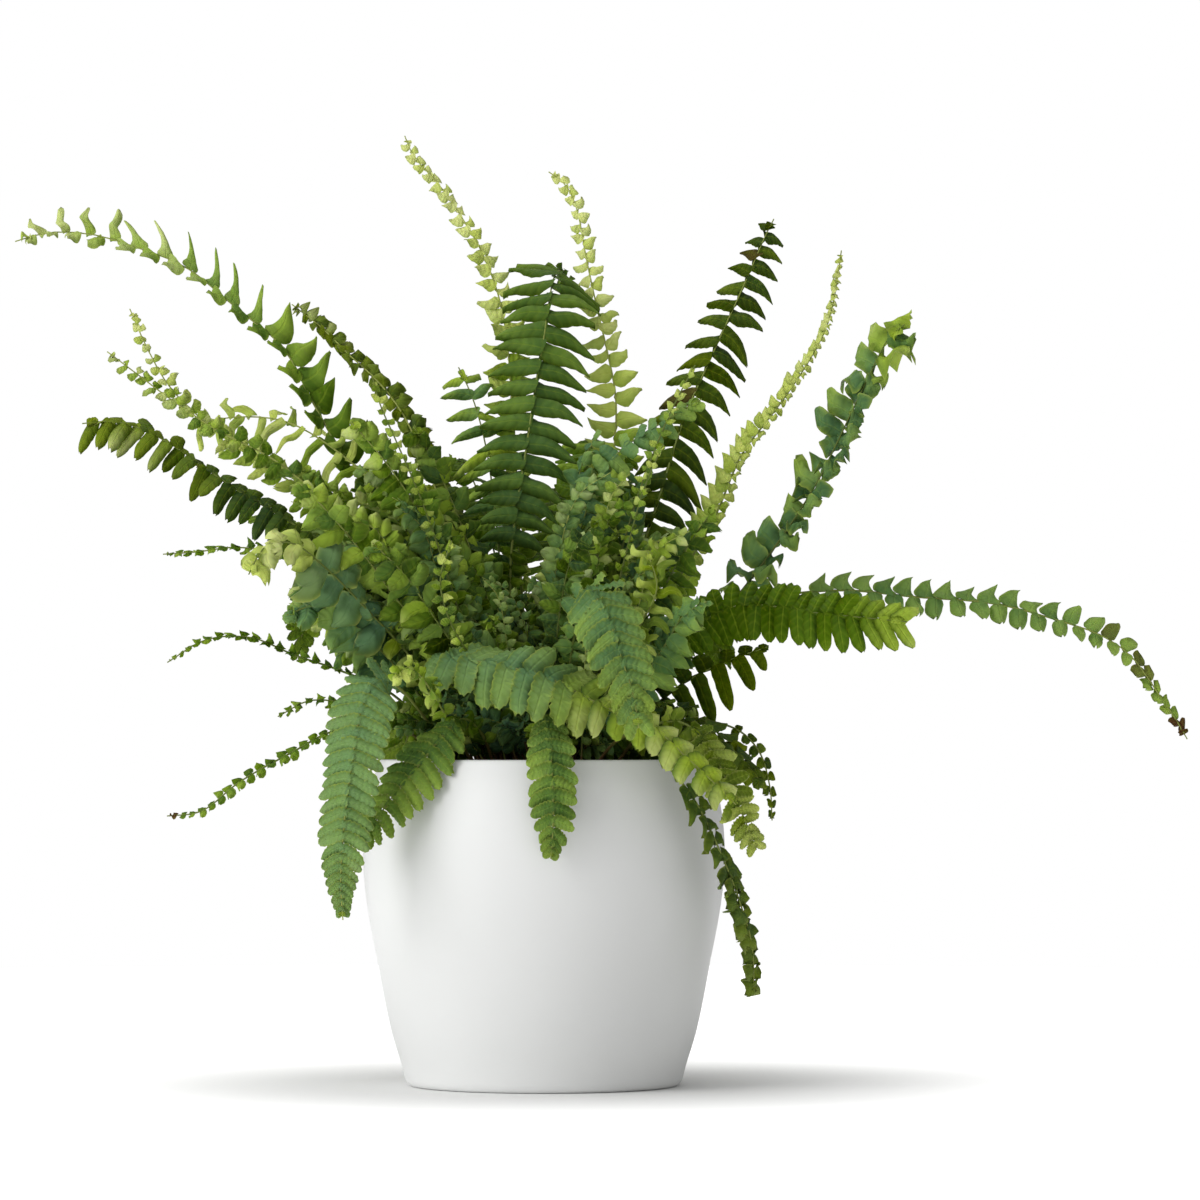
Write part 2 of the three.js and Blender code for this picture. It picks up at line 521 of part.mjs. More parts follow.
// bends a leaflet up or down, then shortens it, until it is clear; none if it never is
const BENDS = [[0, 1], [14, 1], [-14, 1], [28, 1], [-28, 1], [0, 0.75], [20, 0.75], [-20, 0.75],
  [42, 0.9], [-42, 0.9], [0, 0.5], [24, 0.5], [-24, 0.5]];

function growLeaflet(frond, owner, a, b, ringA, ringB, hand, placedSolids) {
  for (const [bend, share] of BENDS) {
    const outline = leafletCorners(frond, a, b, hand, frond.lift + bend, share);
    const leaflet = leafletSolid(owner, ringA, ringB, hand, outline);
    if (clearOfPot(leaflet) && isFree(leaflet, placedSolids)) {
      return leaflet;
    }
  }
  return null;
}

function frondGeometry(rib, leaflets) {
  const vertices = rib.rings.flat().map((p) => [p.x, p.y, p.z]);
  const triangles = [[0, 1, 2]];
  const ribQuad = (a, b, c, d) => triangles.push([a, c, b], [a, d, c]);
  for (let i = 1; i < rib.rings.length; i += 1) {
    const [lower, upper] = [3 * (i - 1), 3 * i];
    ribQuad(lower, lower + 1, upper + 1, upper);
    for (const hand of [-1, 1]) {
      const edge = hand > 0 ? 1 : 0;
      const leaflet = leaflets.get(`${i} ${hand}`);
      if (!leaflet) {
        const quad = [lower + edge, lower + 2, upper + 2, upper + edge];
        ribQuad(...(hand > 0 ? quad : quad.reverse()));
        continue;
      }
      const first = vertices.length;
      leaflet.corners.slice(4).forEach((p) => vertices.push([p.x, p.y, p.z]));
      const [front, tip, back, frontLow, backLow] = [0, 1, 2, 3, 4].map((n) => first + n);
      const [a, b, c, d] = [lower + edge, upper + edge, lower + 2, upper + 2];
      const faces = [[a, back, front], [a, front, b], [back, tip, front], [c, frontLow, backLow],
        [c, d, frontLow], [backLow, frontLow, tip], [a, c, backLow], [a, backLow, back],
        [b, front, frontLow], [b, frontLow, d], [back, backLow, tip], [front, tip, frontLow]];
      faces.forEach((face) => triangles.push(hand > 0 ? [face[0], face[2], face[1]] : face));
    }
  }
  const end = 3 * (rib.rings.length - 1);
  const tip = vertices.length;
  vertices.push(rib.tip);
  triangles.push([end, tip, end + 1], [end + 1, tip, end + 2], [end + 2, tip, end]);
  return indexed(vertices, triangles);
}

const fronds = FRONDS.map((row) => {
  const [name, tone, pairs, length, start, face, lift, sweep, droop, byTurns, root, route] = row;
  return { name, tone, pairs, length, start, face, lift, sweep, droop, byTurns, root, route };
});
const ribs = fronds.map((frond) => {
  const { stations, rings } = ribRings(frond);
  const end = frondPath(frond).getPointAt(1);
  return { stations, rings, tip: [end.x, end.y, end.z] };
});
const placedSolids = ribs.flatMap((rib, owner) => ribSolids(owner, rib.rings));
const leafletSets = ribs.map(() => new Map());
fronds.forEach((frond, owner) => {
  const { stations, rings } = ribs[owner];
  for (let i = STEM_STATIONS + 1; i < rings.length - 1; i += 1) {
    for (const hand of frond.byTurns ? [i % 2 ? 1 : -1] : [-1, 1]) {
      const [a, b] = [stations[i - 1], stations[i]];
      const leaflet = growLeaflet(frond, owner, a, b, rings[i], rings[i + 1], hand, placedSolids);
      if (leaflet) {
        placedSolids.push(leaflet);
        leafletSets[owner].set(`${i + 1} ${hand}`, leaflet);
      }
    }
  }
});

const HOLE_SPREAD = 2.1;
const holes = ribs.map((rib) => {
  const corners = rib.rings[0].map(({ x, y }) => [x, y]);
  const [cx, cy] = [0, 1].map((k) => (corners[0][k] + corners[1][k] + corners[2][k]) / 3);
  const grown = corners.map(([x, y]) => [cx + (x - cx) * HOLE_SPREAD, cy + (y - cy) * HOLE_SPREAD]);
  return THREE.ShapeUtils.area(grown.map(([x, y]) => ({ x, y }))) > 0 ? grown.reverse() : grown;
});

addMesh("cover_pot", turned(potOutline(), POT_SIDES), 0xf1f1ee, 0.5);
addMesh("grow_pot", turned(growPotOutline(), GROW_SIDES), 0x1c1b1a, 0.6);
addMesh("soil", soilGeometry(holes), 0x2a211a, 0.95);
fronds.forEach((frond, owner) => {
  const geometry = frondGeometry(ribs[owner], leafletSets[owner]);
  addMesh(`frond_${frond.name}`, geometry, TONES[frond.tone], 0.6);
});

export default group;
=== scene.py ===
"""A young sword fern in a smooth white cover pot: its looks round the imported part."""

import json
import math

import bpy
import numpy as np
from mathutils import Matrix, Vector

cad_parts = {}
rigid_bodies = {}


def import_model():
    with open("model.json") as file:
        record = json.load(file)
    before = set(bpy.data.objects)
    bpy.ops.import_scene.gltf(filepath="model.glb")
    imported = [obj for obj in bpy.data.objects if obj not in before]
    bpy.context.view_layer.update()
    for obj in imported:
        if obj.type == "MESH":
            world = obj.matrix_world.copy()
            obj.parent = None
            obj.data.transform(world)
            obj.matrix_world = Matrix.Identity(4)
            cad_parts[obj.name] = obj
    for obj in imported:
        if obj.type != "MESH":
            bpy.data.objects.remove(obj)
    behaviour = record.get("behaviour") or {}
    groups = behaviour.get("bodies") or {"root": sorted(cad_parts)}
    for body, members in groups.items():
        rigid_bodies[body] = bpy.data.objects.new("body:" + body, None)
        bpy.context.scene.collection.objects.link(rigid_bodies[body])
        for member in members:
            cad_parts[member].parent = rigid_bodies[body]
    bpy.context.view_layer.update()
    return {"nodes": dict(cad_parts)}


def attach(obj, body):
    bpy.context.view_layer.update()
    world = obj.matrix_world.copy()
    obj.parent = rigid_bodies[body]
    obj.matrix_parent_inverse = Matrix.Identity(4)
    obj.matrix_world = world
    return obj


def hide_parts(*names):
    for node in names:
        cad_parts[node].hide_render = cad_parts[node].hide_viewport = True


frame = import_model()

MM = 0.001
SEED = 41

# camera of the photograph, in metres, with its lens for a 36 mm sensor
CAMERA_PLACE = (0.0248, -2.38, 0.150)
CAMERA_AIM = (0.0248, 0.0, 0.2147)
CAMERA_LENS = 161.1
# soft studio light: the room's share, how it grows towards the window side, and two soft lamps
ROOM_LIGHT = 0.30
WINDOW_SIDE = (-0.14, -0.08, 0.10)
LAMPS = [("window", (-1.9, -1.2, 1.1), 1.6, 27.8), ("ceiling", (0.0, 0.2, 2.2), 1.6, 10.5)]
LAMP_AIM = (0.0, 0.0, 0.18)
FLOOR_RADIUS = 1.3
FLOOR_SIDES = 96
# light that the paper casts, and brightness that the camera sees in it: the distances from the
# middle between which it sets in, and how much it comes to
FLOOR_GLOW = (0.13, 0.5, 0.6)
FLOOR_FADE = (0.05, 0.31, 0.8)
WHITE = (1.0, 1.0, 1.0, 1.0)

# cover pot, in millimetres: outer radius against height
POT_PROFILE = [
    (57.0, 0.0), (59.3, 0.35), (60.6, 1.6), (61.5, 3.6), (62.2, 6.6), (63.6, 11.5), (67.2, 23.0),
    (70.8, 39.5), (73.8, 56.0), (76.8, 71.0), (79.1, 86.0), (80.1, 101.0), (79.6, 113.5),
    (78.2, 124.0), (75.9, 134.0), (73.1, 142.2),
]
POT_WALL = 2.6
POT_FLOOR = 4.0
POT_TOP = 144.0
POT_SIDES = 144
# height from which a little dust lies on it
DUST_FOOT = 120.0

# nursery pot inside it, and the soil, in millimetres
GROW_FOOT = 4.35
GROW_FOOT_RADIUS = 46.0
GROW_TOP_RADIUS = 62.0
GROW_TOP = 140.0
GROW_WALL = 1.2
GROW_LIP = 3.0
GROW_LIP_FOOT = 135.0
GROW_SIDES = 96
SOIL_TOP = 132.0
# how deep a stem stands in the soil, and how high it rises straight out of it
STEM_DEPTH = 11.0
STEM_RISE = 5.0

# front view that the routes of the fronds are given in
VIEW_X = 24.8
VIEW_Z = 150.0
VIEW_DISTANCE = 2380.0

# tone, leaflet length, start of the blade as a share of the length, direction that the upper face
# turns to, or None where it is the outer side of the bend, lift and forward sweep of the leaflets
# in degrees, how far their tips hang as a share of their length, 1 if they stand by turns left and
# right, and root [x, y]. Then the blade: distance between the leaflets of one side and their
# breadth, their cut, how far they lean like slats, in degrees, how irregular they are, and their
# tint at its foot and at its tip, from 0, darkest, to 1, palest. Then the route as seen from the
# front [x, z, depth]. Lengths are in millimetres
FRONDS = {
    "front_drop": ("blue", 17, 0.42, [0, -1, 0.7], -8, 12, 0.12, 0, [6, -14],
     (7, 8, "crinkled", 20, 0.34, 0.42, 0.8),
     [[10, 176, -26], [15, 206, -46], [20, 218, -62], [26, 211, -76], [31, 200, -86],
      [34, 190, -92], [38, 178, -97], [41, 165, -100], [42, 158, -101]]),
    "front_sweep": ("blue", 22, 0.3, [0.1, -1, 0.9], -6, 10, 0.12, 0, [-24, -25],
     (8.8, 9.4, "crinkled", 18, 0.28, 0.45, 1.05),
     [[-40, 164, -28], [-52, 186, -44], [-42, 189, -58], [-28, 187, -66], [-12, 184, -72],
      [2, 180, -76], [16, 173, -78], [32, 165, -80], [50, 157, -83], [62, 146, -85],
      [75, 134, -86], [85, 124, -85]]),
    "left_drop": ("blue", 16, 0.34, [-0.2, -1, 0.3], -10, 8, 0.1, 0, [-34, -20],
     (5.2, 6.3, "crinkled", 16, 0.2, 0.7, 0.78),
     [[-54, 164, -38], [-66, 177, -54], [-75, 178, -64], [-81, 166, -73], [-84, 150, -78],
      [-87, 130, -81], [-89, 110, -82], [-90, 90, -81], [-89, 73, -79]]),
    "left_slant": ("mid", 14, 0.38, [-0.2, -1, 0.5], -8, 12, 0.12, 0, [-20, -28],
     (5.6, 6.4, "crinkled", 18, 0.36, 0.45, 0.85),
     [[-28, 156, -42], [-36, 162, -52], [-46, 153, -60], [-56, 141, -65], [-66, 129, -66],
      [-76, 115, -65], [-82, 106, -63]]),
    "centre_drop": ("mid", 12, 0.4, [0, -1, 0.3], -8, 8, 0.1, 0, [0, -32],
     (5.8, 6.3, "crinkled", 18, 0.36, 0.5, 0.74),
     [[-1, 155, -48], [0, 163, -62], [2, 157, -75], [3, 145, -83], [4, 130, -88], [4, 115, -90],
      [3, 100, -89]]),
    "centre_upright": ("deep", 23, 0.36, [0, -1, 0.15], -4, 4, 0.22, 0, [-3, 2],
     (8.9, 8.8, "arched", 6, 0.26, 0.5, 0.68),
     [[-12, 180, 4], [-15, 225, 8], [-13, 250, 10], [-9, 275, 14], [-6, 295, 18], [-3, 315, 24],
      [0, 332, 29], [2, 346, 35], [4, 357, 46], [7, 361, 64], [10, 356, 84], [12, 345, 98]]),
    "dark_right": ("dark", 17, 0.42, [-0.1, -1, 0.1], -6, 0, 0.38, 1, [9, 8],
     (10, 8.2, "arched", 4, 0.5, 0.45, 0.5),
     [[26, 200, 18], [46, 245, 28], [62, 295, 36], [73, 320, 42], [83, 342, 47], [92, 362, 52],
      [98, 376, 56], [102, 384, 60]]),
    "curled_right": ("blue", 17, 0.4, [-0.5, -0.9, 0.3], 8, 10, -0.1, 1, [19, 2],
     (8.6, 10.6, "cup", 20, 1.2, 0.22, 0.85),
     [[46, 180, -4], [78, 208, -2], [100, 235, 3], [120, 265, 9], [135, 295, 14], [146, 318, 18],
      [153, 331, 18], [160, 337, 12]]),
    "thin_right": ("light", 8, 0.36, [-0.3, -1, 0.2], 4, 30, 0, 1, [14, 12],
     (5.8, 6, "ovate", 0, 0.6, 0.5, 1.2),
     [[34, 186, 14], [60, 225, 20], [75, 250, 25], [88, 280, 30], [98, 293, 33], [107, 305, 36],
      [117, 320, 40], [125, 335, 43], [129, 350, 46], [132, 370, 50]]),
    "right_broad": ("mid", 15, 0.42, [0, -1, 0.45], -4, 6, 0.15, 0, [24, -10],
     (6.2, 7.2, "tongue", 10, 0.22, 0.2, 1),
     [[44, 178, -22], [66, 202, -34], [85, 212, -40], [100, 212, -44], [120, 209, -48],
      [140, 207, -50], [161, 205, -51]]),
    "right_arch": ("mid", 12, 0.4, [0, -1, 0.45], 6, 8, 0.05, 1, [24, 7],
     (9.4, 9.4, "hatchet", 0, 0.45, 0.5, 0.6),
     [[58, 192, 16], [96, 214, 22], [130, 219, 26], [165, 216, 29], [200, 213, 31],
      [230, 205, 33], [247, 199, 34], [260, 190, 35], [273, 172, 36], [281, 160, 37],
      [285, 153, 37]]),
    "left_arch": ("mid", 18, 0.38, [0, -0.9, 0.75], 16, 6, -0.3, 1, [-16, 6],
     (12.4, 7, "blade", 0, 0.5, 0.55, 1.3),
     [[-42, 205, 12], [-68, 250, 18], [-85, 272, 22], [-103, 303, 26], [-116, 327, 30],
      [-135, 343, 34], [-160, 363, 38], [-180, 371, 40], [-200, 377, 42], [-220, 378, 43],
      [-235, 374, 43]]),
    "tall_left": ("light", 10, 0.45, [0.3, -0.8, 0.1], 6, 14, 0.15, 1, [-4, 18],
     (10, 7.4, "pointed", 0, 0.7, 0.75, 1.45),
     [[-10, 220, 28], [-14, 300, 44], [-19, 345, 52], [-28, 370, 57], [-35, 382, 60],
      [-42, 393, 63], [-50, 403, 66], [-58, 412, 69], [-62, 421, 72]]),
    "tall_mid": ("light", 10, 0.45, [-0.3, -0.8, 0.1], 6, 14, 0.15, 1, [5, 18],
     (10.5, 7.4, "pointed", 0, 0.7, 0.75, 1.5),
     [[22, 220, 26], [32, 300, 42], [28, 325, 48], [24, 342, 53], [19, 365, 60], [14, 390, 67],
      [9, 400, 70], [2, 405, 72]]),
    "left_blue": ("blue", 17, 0.5, [0.2, -1, 0.1], -6, 0, 0.45, 0, [-8, 10],
     (8.6, 6, "sickle", 0, 1, 0.35, 0.95),
     [[-18, 215, 20], [-23, 265, 30], [-27, 288, 34], [-32, 305, 38], [-38, 318, 42]]),
    "left_short": ("dark", 7, 0.45, [-0.3, -0.9, 0.3], 6, 26, 0.1, 1, [-12, 16],
     (6.4, 8, "cup", 0, 0.8, 0.8, 1.15),
     [[-38, 235, 26], [-62, 296, 36], [-75, 313, 40], [-86, 323, 44], [-98, 335, 48],
      [-112, 346, 52]]),
    "left_reach": ("dark", 16, 0.4, [0, -1, 0.6], -10, 12, 0.5, 1, [-24, -8],
     (7, 8.2, "tongue", 0, 0.7, 0.3, 1),
     [[-56, 205, -20], [-92, 236, -28], [-112, 249, -32], [-140, 266, -36], [-158, 279, -38],
      [-175, 289, -40], [-190, 294, -41], [-205, 293, -41]]),
    "left_fork": ("mid", 10, 0.5, [-0.4, -0.8, 0.5], 10, 20, 0.1, 0, [-20, 0],
     (7.6, 6.4, "ovate", 0, 1.3, 0.75, 1.35),
     [[-52, 212, -4], [-90, 252, -6], [-120, 277, -8], [-145, 290, -10], [-166, 304, -11],
      [-182, 316, -12], [-194, 325, -12]]),
    "left_light": ("light", 9, 0.55, [-0.5, -0.8, 0.2], 10, 20, 0.1, 0, [-22, 8],
     (7.4, 5.6, "ovate", 0, 1.3, 0.8, 1.35),
     [[-58, 215, 8], [-96, 256, 4], [-130, 278, 0], [-152, 295, -2], [-166, 309, -3],
      [-176, 326, -4], [-184, 344, -4]]),
    "left_curtain": ("light", 13, 0.5, [0, -1, 0.5], -12, 4, 0.3, 1, [-18, 12],
     (10.5, 3.8, "strap", 0, 0.9, 0.75, 1.15),
     [[-44, 215, 14], [-72, 262, 16], [-95, 283, 18], [-115, 294, 20], [-135, 296, 20],
      [-156, 293, 19]]),
    "left_crinkle": ("olive", 17, 0.45, [-0.2, -1, 0.4], -6, 6, 0.15, 0, [-30, -14],
     (10.5, 12, "cup", 6, 1.1, 0.3, 1.1),
     [[-56, 185, -34], [-80, 212, -56], [-98, 230, -72], [-112, 240, -84], [-124, 238, -94],
      [-131, 226, -99]]),
    "left_leaf_low": ("blue", 14, 0.42, [-0.3, -1, 0.5], -6, 8, 0.15, 0, [-32, -4],
     (8, 10.5, "ovate", 0, 0.9, 0.42, 0.6),
     [[-52, 168, -22], [-72, 192, -40], [-88, 206, -52], [-102, 212, -60], [-114, 208, -65]]),
    "left_wisp": ("mid", 5, 0.4, [0, -0.6, 1], 14, 20, -0.1, 0, [-36, 2],
     (5.6, 4.4, "pointed", 0, 0.6, 0.35, 0.6),
     [[-66, 172, -2], [-92, 184, -6], [-110, 190, -8], [-130, 198, -10], [-150, 197, -11],
      [-167, 187, -12]]),
    "left_low_wisp": ("mid", 5, 0.42, [0, -0.6, 1], 10, 20, 0.1, 0, [-38, -8],
     (5.6, 4.6, "small", 0, 0.6, 0.35, 0.7),
     [[-64, 158, -18], [-92, 157, -28], [-112, 147, -32], [-135, 134, -34], [-152, 121, -35],
      [-167, 119, -36]]),
    "left_stub": ("mid", 5, 0.55, [0, -0.6, 1], 10, 20, 0, 0, [-34, 12],
     (5.4, 4, "pointed", 0, 0.6, 0.35, 0.6),
     [[-62, 162, 10], [-88, 169, 6], [-104, 170, 4], [-118, 163, 2]]),
    "left_mid_wisp": ("mid", 6, 0.55, [0, -0.6, 1], 10, 20, 0, 0, [-30, 8],
     (5.6, 4.4, "pointed", 0, 0.6, 0.45, 0.65),
     [[-60, 195, 2], [-96, 226, -4], [-120, 236, -8], [-138, 238, -10], [-154, 236, -11],
      [-169, 235, -12]]),
    "left_inner_a": ("mid", 15, 0.4, [-0.2, -1, 0.4], -4, 10, 0.15, 0, [-14, -6],
     (6.6, 9, "ovate", 0, 1.2, 0.5, 1),
     [[-28, 196, -14], [-44, 232, -22], [-58, 258, -30], [-72, 278, -36], [-86, 294, -42]]),
    "left_inner_b": ("deep", 14, 0.42, [0.2, -1, 0.3], -4, 8, 0.15, 0, [-10, -2],
     (6.6, 9, "ovate", 0, 1.2, 0.4, 0.9),
     [[-22, 200, -6], [-36, 246, -10], [-47, 272, -14], [-58, 292, -18]]),
    "left_inner_c": ("mid", 15, 0.4, [-0.3, -1, 0.5], -6, 10, 0.15, 0, [-26, -20],
     (6.6, 9, "ovate", 0, 1.2, 0.5, 1),
     [[-44, 186, -34], [-66, 216, -50], [-84, 240, -62], [-98, 256, -70], [-108, 266, -76]]),
    "left_inner_d": ("deep", 14, 0.38, [-0.1, -1, 0.5], -6, 8, 0.15, 0, [-16, -22],
     (6.6, 9, "ovate", 0, 1.2, 0.4, 0.85),
     [[-30, 178, -36], [-48, 206, -52], [-62, 226, -64], [-76, 240, -74]]),
    "left_back": ("mid", 14, 0.4, [-0.3, -0.8, 0.7], -4, 8, 0.15, 0, [-28, 2],
     (6.6, 9, "ovate", 0, 1.2, 0.55, 1.05),
     [[-50, 205, 2], [-76, 244, 0], [-94, 262, -2], [-108, 274, -4]]),
    "young_left": ("light", 8, 0.5, [0.4, -1, 0.3], 6, 20, 0.1, 0, [-18, -12],
     (5.6, 4.2, "ovate", 0, 1.2, 0.25, 0.8),
     [[-38, 210, -26], [-54, 258, -38], [-66, 286, -44], [-73, 302, -48], [-76, 313, -50]]),
    "young_centre": ("light", 8, 0.45, [0.3, -1, 0.3], 6, 20, 0.1, 0, [-10, -20],
     (5.6, 4.6, "ovate", 0, 1.2, 0.25, 0.9),
     [[-26, 178, -44], [-42, 206, -66], [-46, 224, -74], [-41, 241, -80]]),
    "young_front": ("light", 6, 0.87, [0, -1, 0.5], 6, 20, 0, 0, [-28, -30],
     (2.8, 4.2, "cup", 0, 1.2, 0.5, 0.85),
     [[-45, 166, -56], [-54, 180, -82], [-60, 185, -92], [-66, 180, -97]]),
    "young_right": ("light", 8, 0.55, [-0.3, -1, 0.2], 6, 20, 0.1, 0, [12, -2],
     (5.8, 4.2, "ovate", 0, 1.2, 0.2, 0.8),
     [[26, 205, -6], [42, 262, -12], [53, 291, -14], [60, 306, -15], [67, 319, -16]]),
    "young_right_low": ("light", 7, 0.45, [-0.3, -1, 0.3], 6, 20, 0.1, 0, [16, -8],
     (5.8, 4.2, "ovate", 0, 1.2, 0.2, 0.85),
     [[26, 190, -20], [38, 242, -32], [45, 266, -37], [53, 284, -40]]),
    "right_row": ("blue", 10, 0.5, [-0.2, -1, 0.5], -4, 10, 0.15, 0, [6, 2],
     (7.4, 6.4, "tongue", 0, 0.8, 0.35, 0.75),
     [[10, 200, 2], [18, 252, -2], [32, 279, -5], [50, 292, -8], [70, 304, -10]]),
    "right_bright": ("olive", 12, 0.45, [-0.3, -1, 0.4], -4, 10, 0.1, 0, [14, -20],
     (6.6, 4.4, "strap", 0, 0.8, 0.4, 0.8),
     [[26, 170, -40], [42, 202, -58], [50, 220, -66], [46, 236, -72]]),
    "right_cluster": ("mid", 14, 0.4, [-0.3, -1, 0.4], -4, 8, 0.2, 0, [22, -4],
     (6, 7.8, "ovate", 0, 1.2, 0.25, 0.65),
     [[36, 186, -8], [54, 222, -16], [66, 242, -20], [76, 256, -22]]),
    "right_lower_blue": ("blue", 13, 0.42, [0.1, -1, 0.6], -6, 8, 0.2, 0, [20, -22],
     (6.4, 8, "ovate", 0, 0.9, 0.35, 0.6),
     [[36, 166, -40], [52, 192, -58], [62, 208, -68], [72, 214, -76]]),
    "right_dark_low": ("dark", 16, 0.4, [0.2, -1, 0.1], -8, 4, 0.5, 1, [30, -2],
     (10.5, 7.8, "tongue", 0, 0.4, 0.35, 0.5),
     [[46, 164, -8], [62, 178, -14], [80, 187, -18], [99, 194, -20]]),
    "right_olive": ("olive", 11, 0.5, [0.2, -1, 0.4], -8, 6, 0.1, 0, [28, -24],
     (4.5, 5.4, "crinkled", 20, 0.6, 0.45, 0.9),
     [[46, 158, -42], [62, 160, -56], [74, 148, -64], [82, 132, -67], [89, 117, -67],
      [94, 104, -66]]),
    "right_drop": ("dark", 8, 0.42, [0.7, -0.7, 0.2], 4, 20, 0.2, 0, [20, -32],
     (8.4, 6.6, "cup", 0, 0.5, 0.5, 1.05),
     [[32, 152, -54], [42, 155, -66], [54, 142, -70], [66, 127, -68], [74, 112, -62],
      [81, 96, -56], [87, 80, -50], [92, 62, -45], [93, 40, -41]]),
    "right_dark_side": ("dark", 10, 0.45, [0.3, -1, 0.6], -6, 8, 0.2, 0, [34, -14],
     (6, 7.4, "ovate", 0, 0.7, 0.4, 0.65),
     [[52, 156, -26], [70, 158, -36], [84, 148, -40], [97, 133, -41]]),
    "right_bare": ("dark", 4, 0.55, [0.3, -1, 0.3], 0, 20, 0.1, 0, [36, -6],
     (6.4, 4.6, "scale", 0, 0.6, 0.4, 0.6),
     [[60, 160, -12], [84, 158, -18], [95, 148, -20], [100, 132, -21], [101, 117, -21]]),
    "centre_inner": ("deep", 13, 0.38, [0.2, -1, 0.5], -4, 8, 0.15, 0, [0, -10],
     (6, 7.6, "ovate", 0, 1.2, 0.2, 0.5),
     [[4, 180, -26], [8, 216, -42], [14, 238, -52], [24, 250, -60]]),
    "back_centre": ("deep", 20, 0.3, None, -4, 10, 0.15, 0, [2, 26],
     (8.2, 8.6, "sickle", 10, 0.35, 0.4, 0.65),
     [[2, 190, 50], [3, 240, 88], [4, 262, 126], [6, 258, 164], [6, 236, 198]]),
    "back_left": ("mid", 19, 0.3, None, -4, 10, 0.15, 0, [-12, 26],
     (8.2, 8.6, "sickle", 10, 0.35, 0.4, 0.7),
     [[-20, 190, 48], [-40, 238, 82], [-54, 260, 116], [-66, 254, 150], [-74, 232, 176]]),
    "back_right": ("mid", 18, 0.3, None, -4, 10, 0.15, 0, [14, 24],
     (8.2, 8.4, "tongue", 8, 0.35, 0.4, 0.7),
     [[20, 190, 46], [38, 232, 78], [50, 246, 110], [58, 236, 144], [62, 210, 170]]),
    "back_left_wide": ("deep", 18, 0.32, None, -4, 10, 0.15, 0, [-24, 20],
     (8.2, 8.4, "tongue", 8, 0.35, 0.4, 0.65),
     [[-38, 180, 40], [-66, 214, 68], [-88, 224, 96], [-102, 214, 120], [-110, 190, 138]]),
    "back_right_wide": ("deep", 16, 0.32, None, -4, 10, 0.15, 0, [26, 18],
     (7.8, 8.2, "sickle", 10, 0.35, 0.4, 0.65),
     [[38, 176, 38], [58, 202, 66], [72, 206, 96], [80, 186, 126]]),
    "back_drop": ("blue", 17, 0.32, None, -6, 10, 0.15, 0, [-2, 38],
     (7.2, 8.4, "crinkled", 12, 0.3, 0.4, 0.75),
     [[-5, 160, 60], [-8, 174, 88], [-10, 162, 114], [-11, 136, 130], [-11, 108, 138]]),
    "back_drop_left": ("mid", 16, 0.32, None, -6, 10, 0.15, 0, [-26, 32],
     (7.2, 8.2, "crinkled", 12, 0.3, 0.4, 0.8),
     [[-38, 158, 52], [-52, 168, 78], [-62, 150, 100], [-68, 118, 112]]),
    "back_drop_right": ("blue", 16, 0.32, None, -6, 10, 0.15, 0, [22, 34],
     (7.2, 8.2, "crinkled", 12, 0.3, 0.4, 0.75),
     [[32, 158, 56], [44, 166, 84], [54, 148, 106], [60, 114, 118]]),
    "back_tall": ("mid", 16, 0.36, None, -4, 12, 0.15, 0, [4, 34],
     (8, 8.2, "sickle", 8, 0.45, 0.4, 0.75),
     [[10, 200, 52], [16, 256, 78], [20, 282, 106], [22, 282, 134], [22, 262, 158]]),
    "back_tall_left": ("deep", 15, 0.36, None, -4, 12, 0.15, 0, [-10, 34],
     (8, 8.2, "sickle", 8, 0.45, 0.4, 0.65),
     [[-16, 200, 50], [-26, 252, 74], [-36, 276, 100], [-42, 272, 128]]),
    "back_left_high": ("mid", 14, 0.4, None, -4, 12, 0.15, 0, [-26, 15],
     (8, 7.8, "tongue", 8, 0.5, 0.4, 0.75),
     [[-48, 190, 28], [-80, 226, 50], [-108, 248, 68], [-134, 252, 82]]),
}
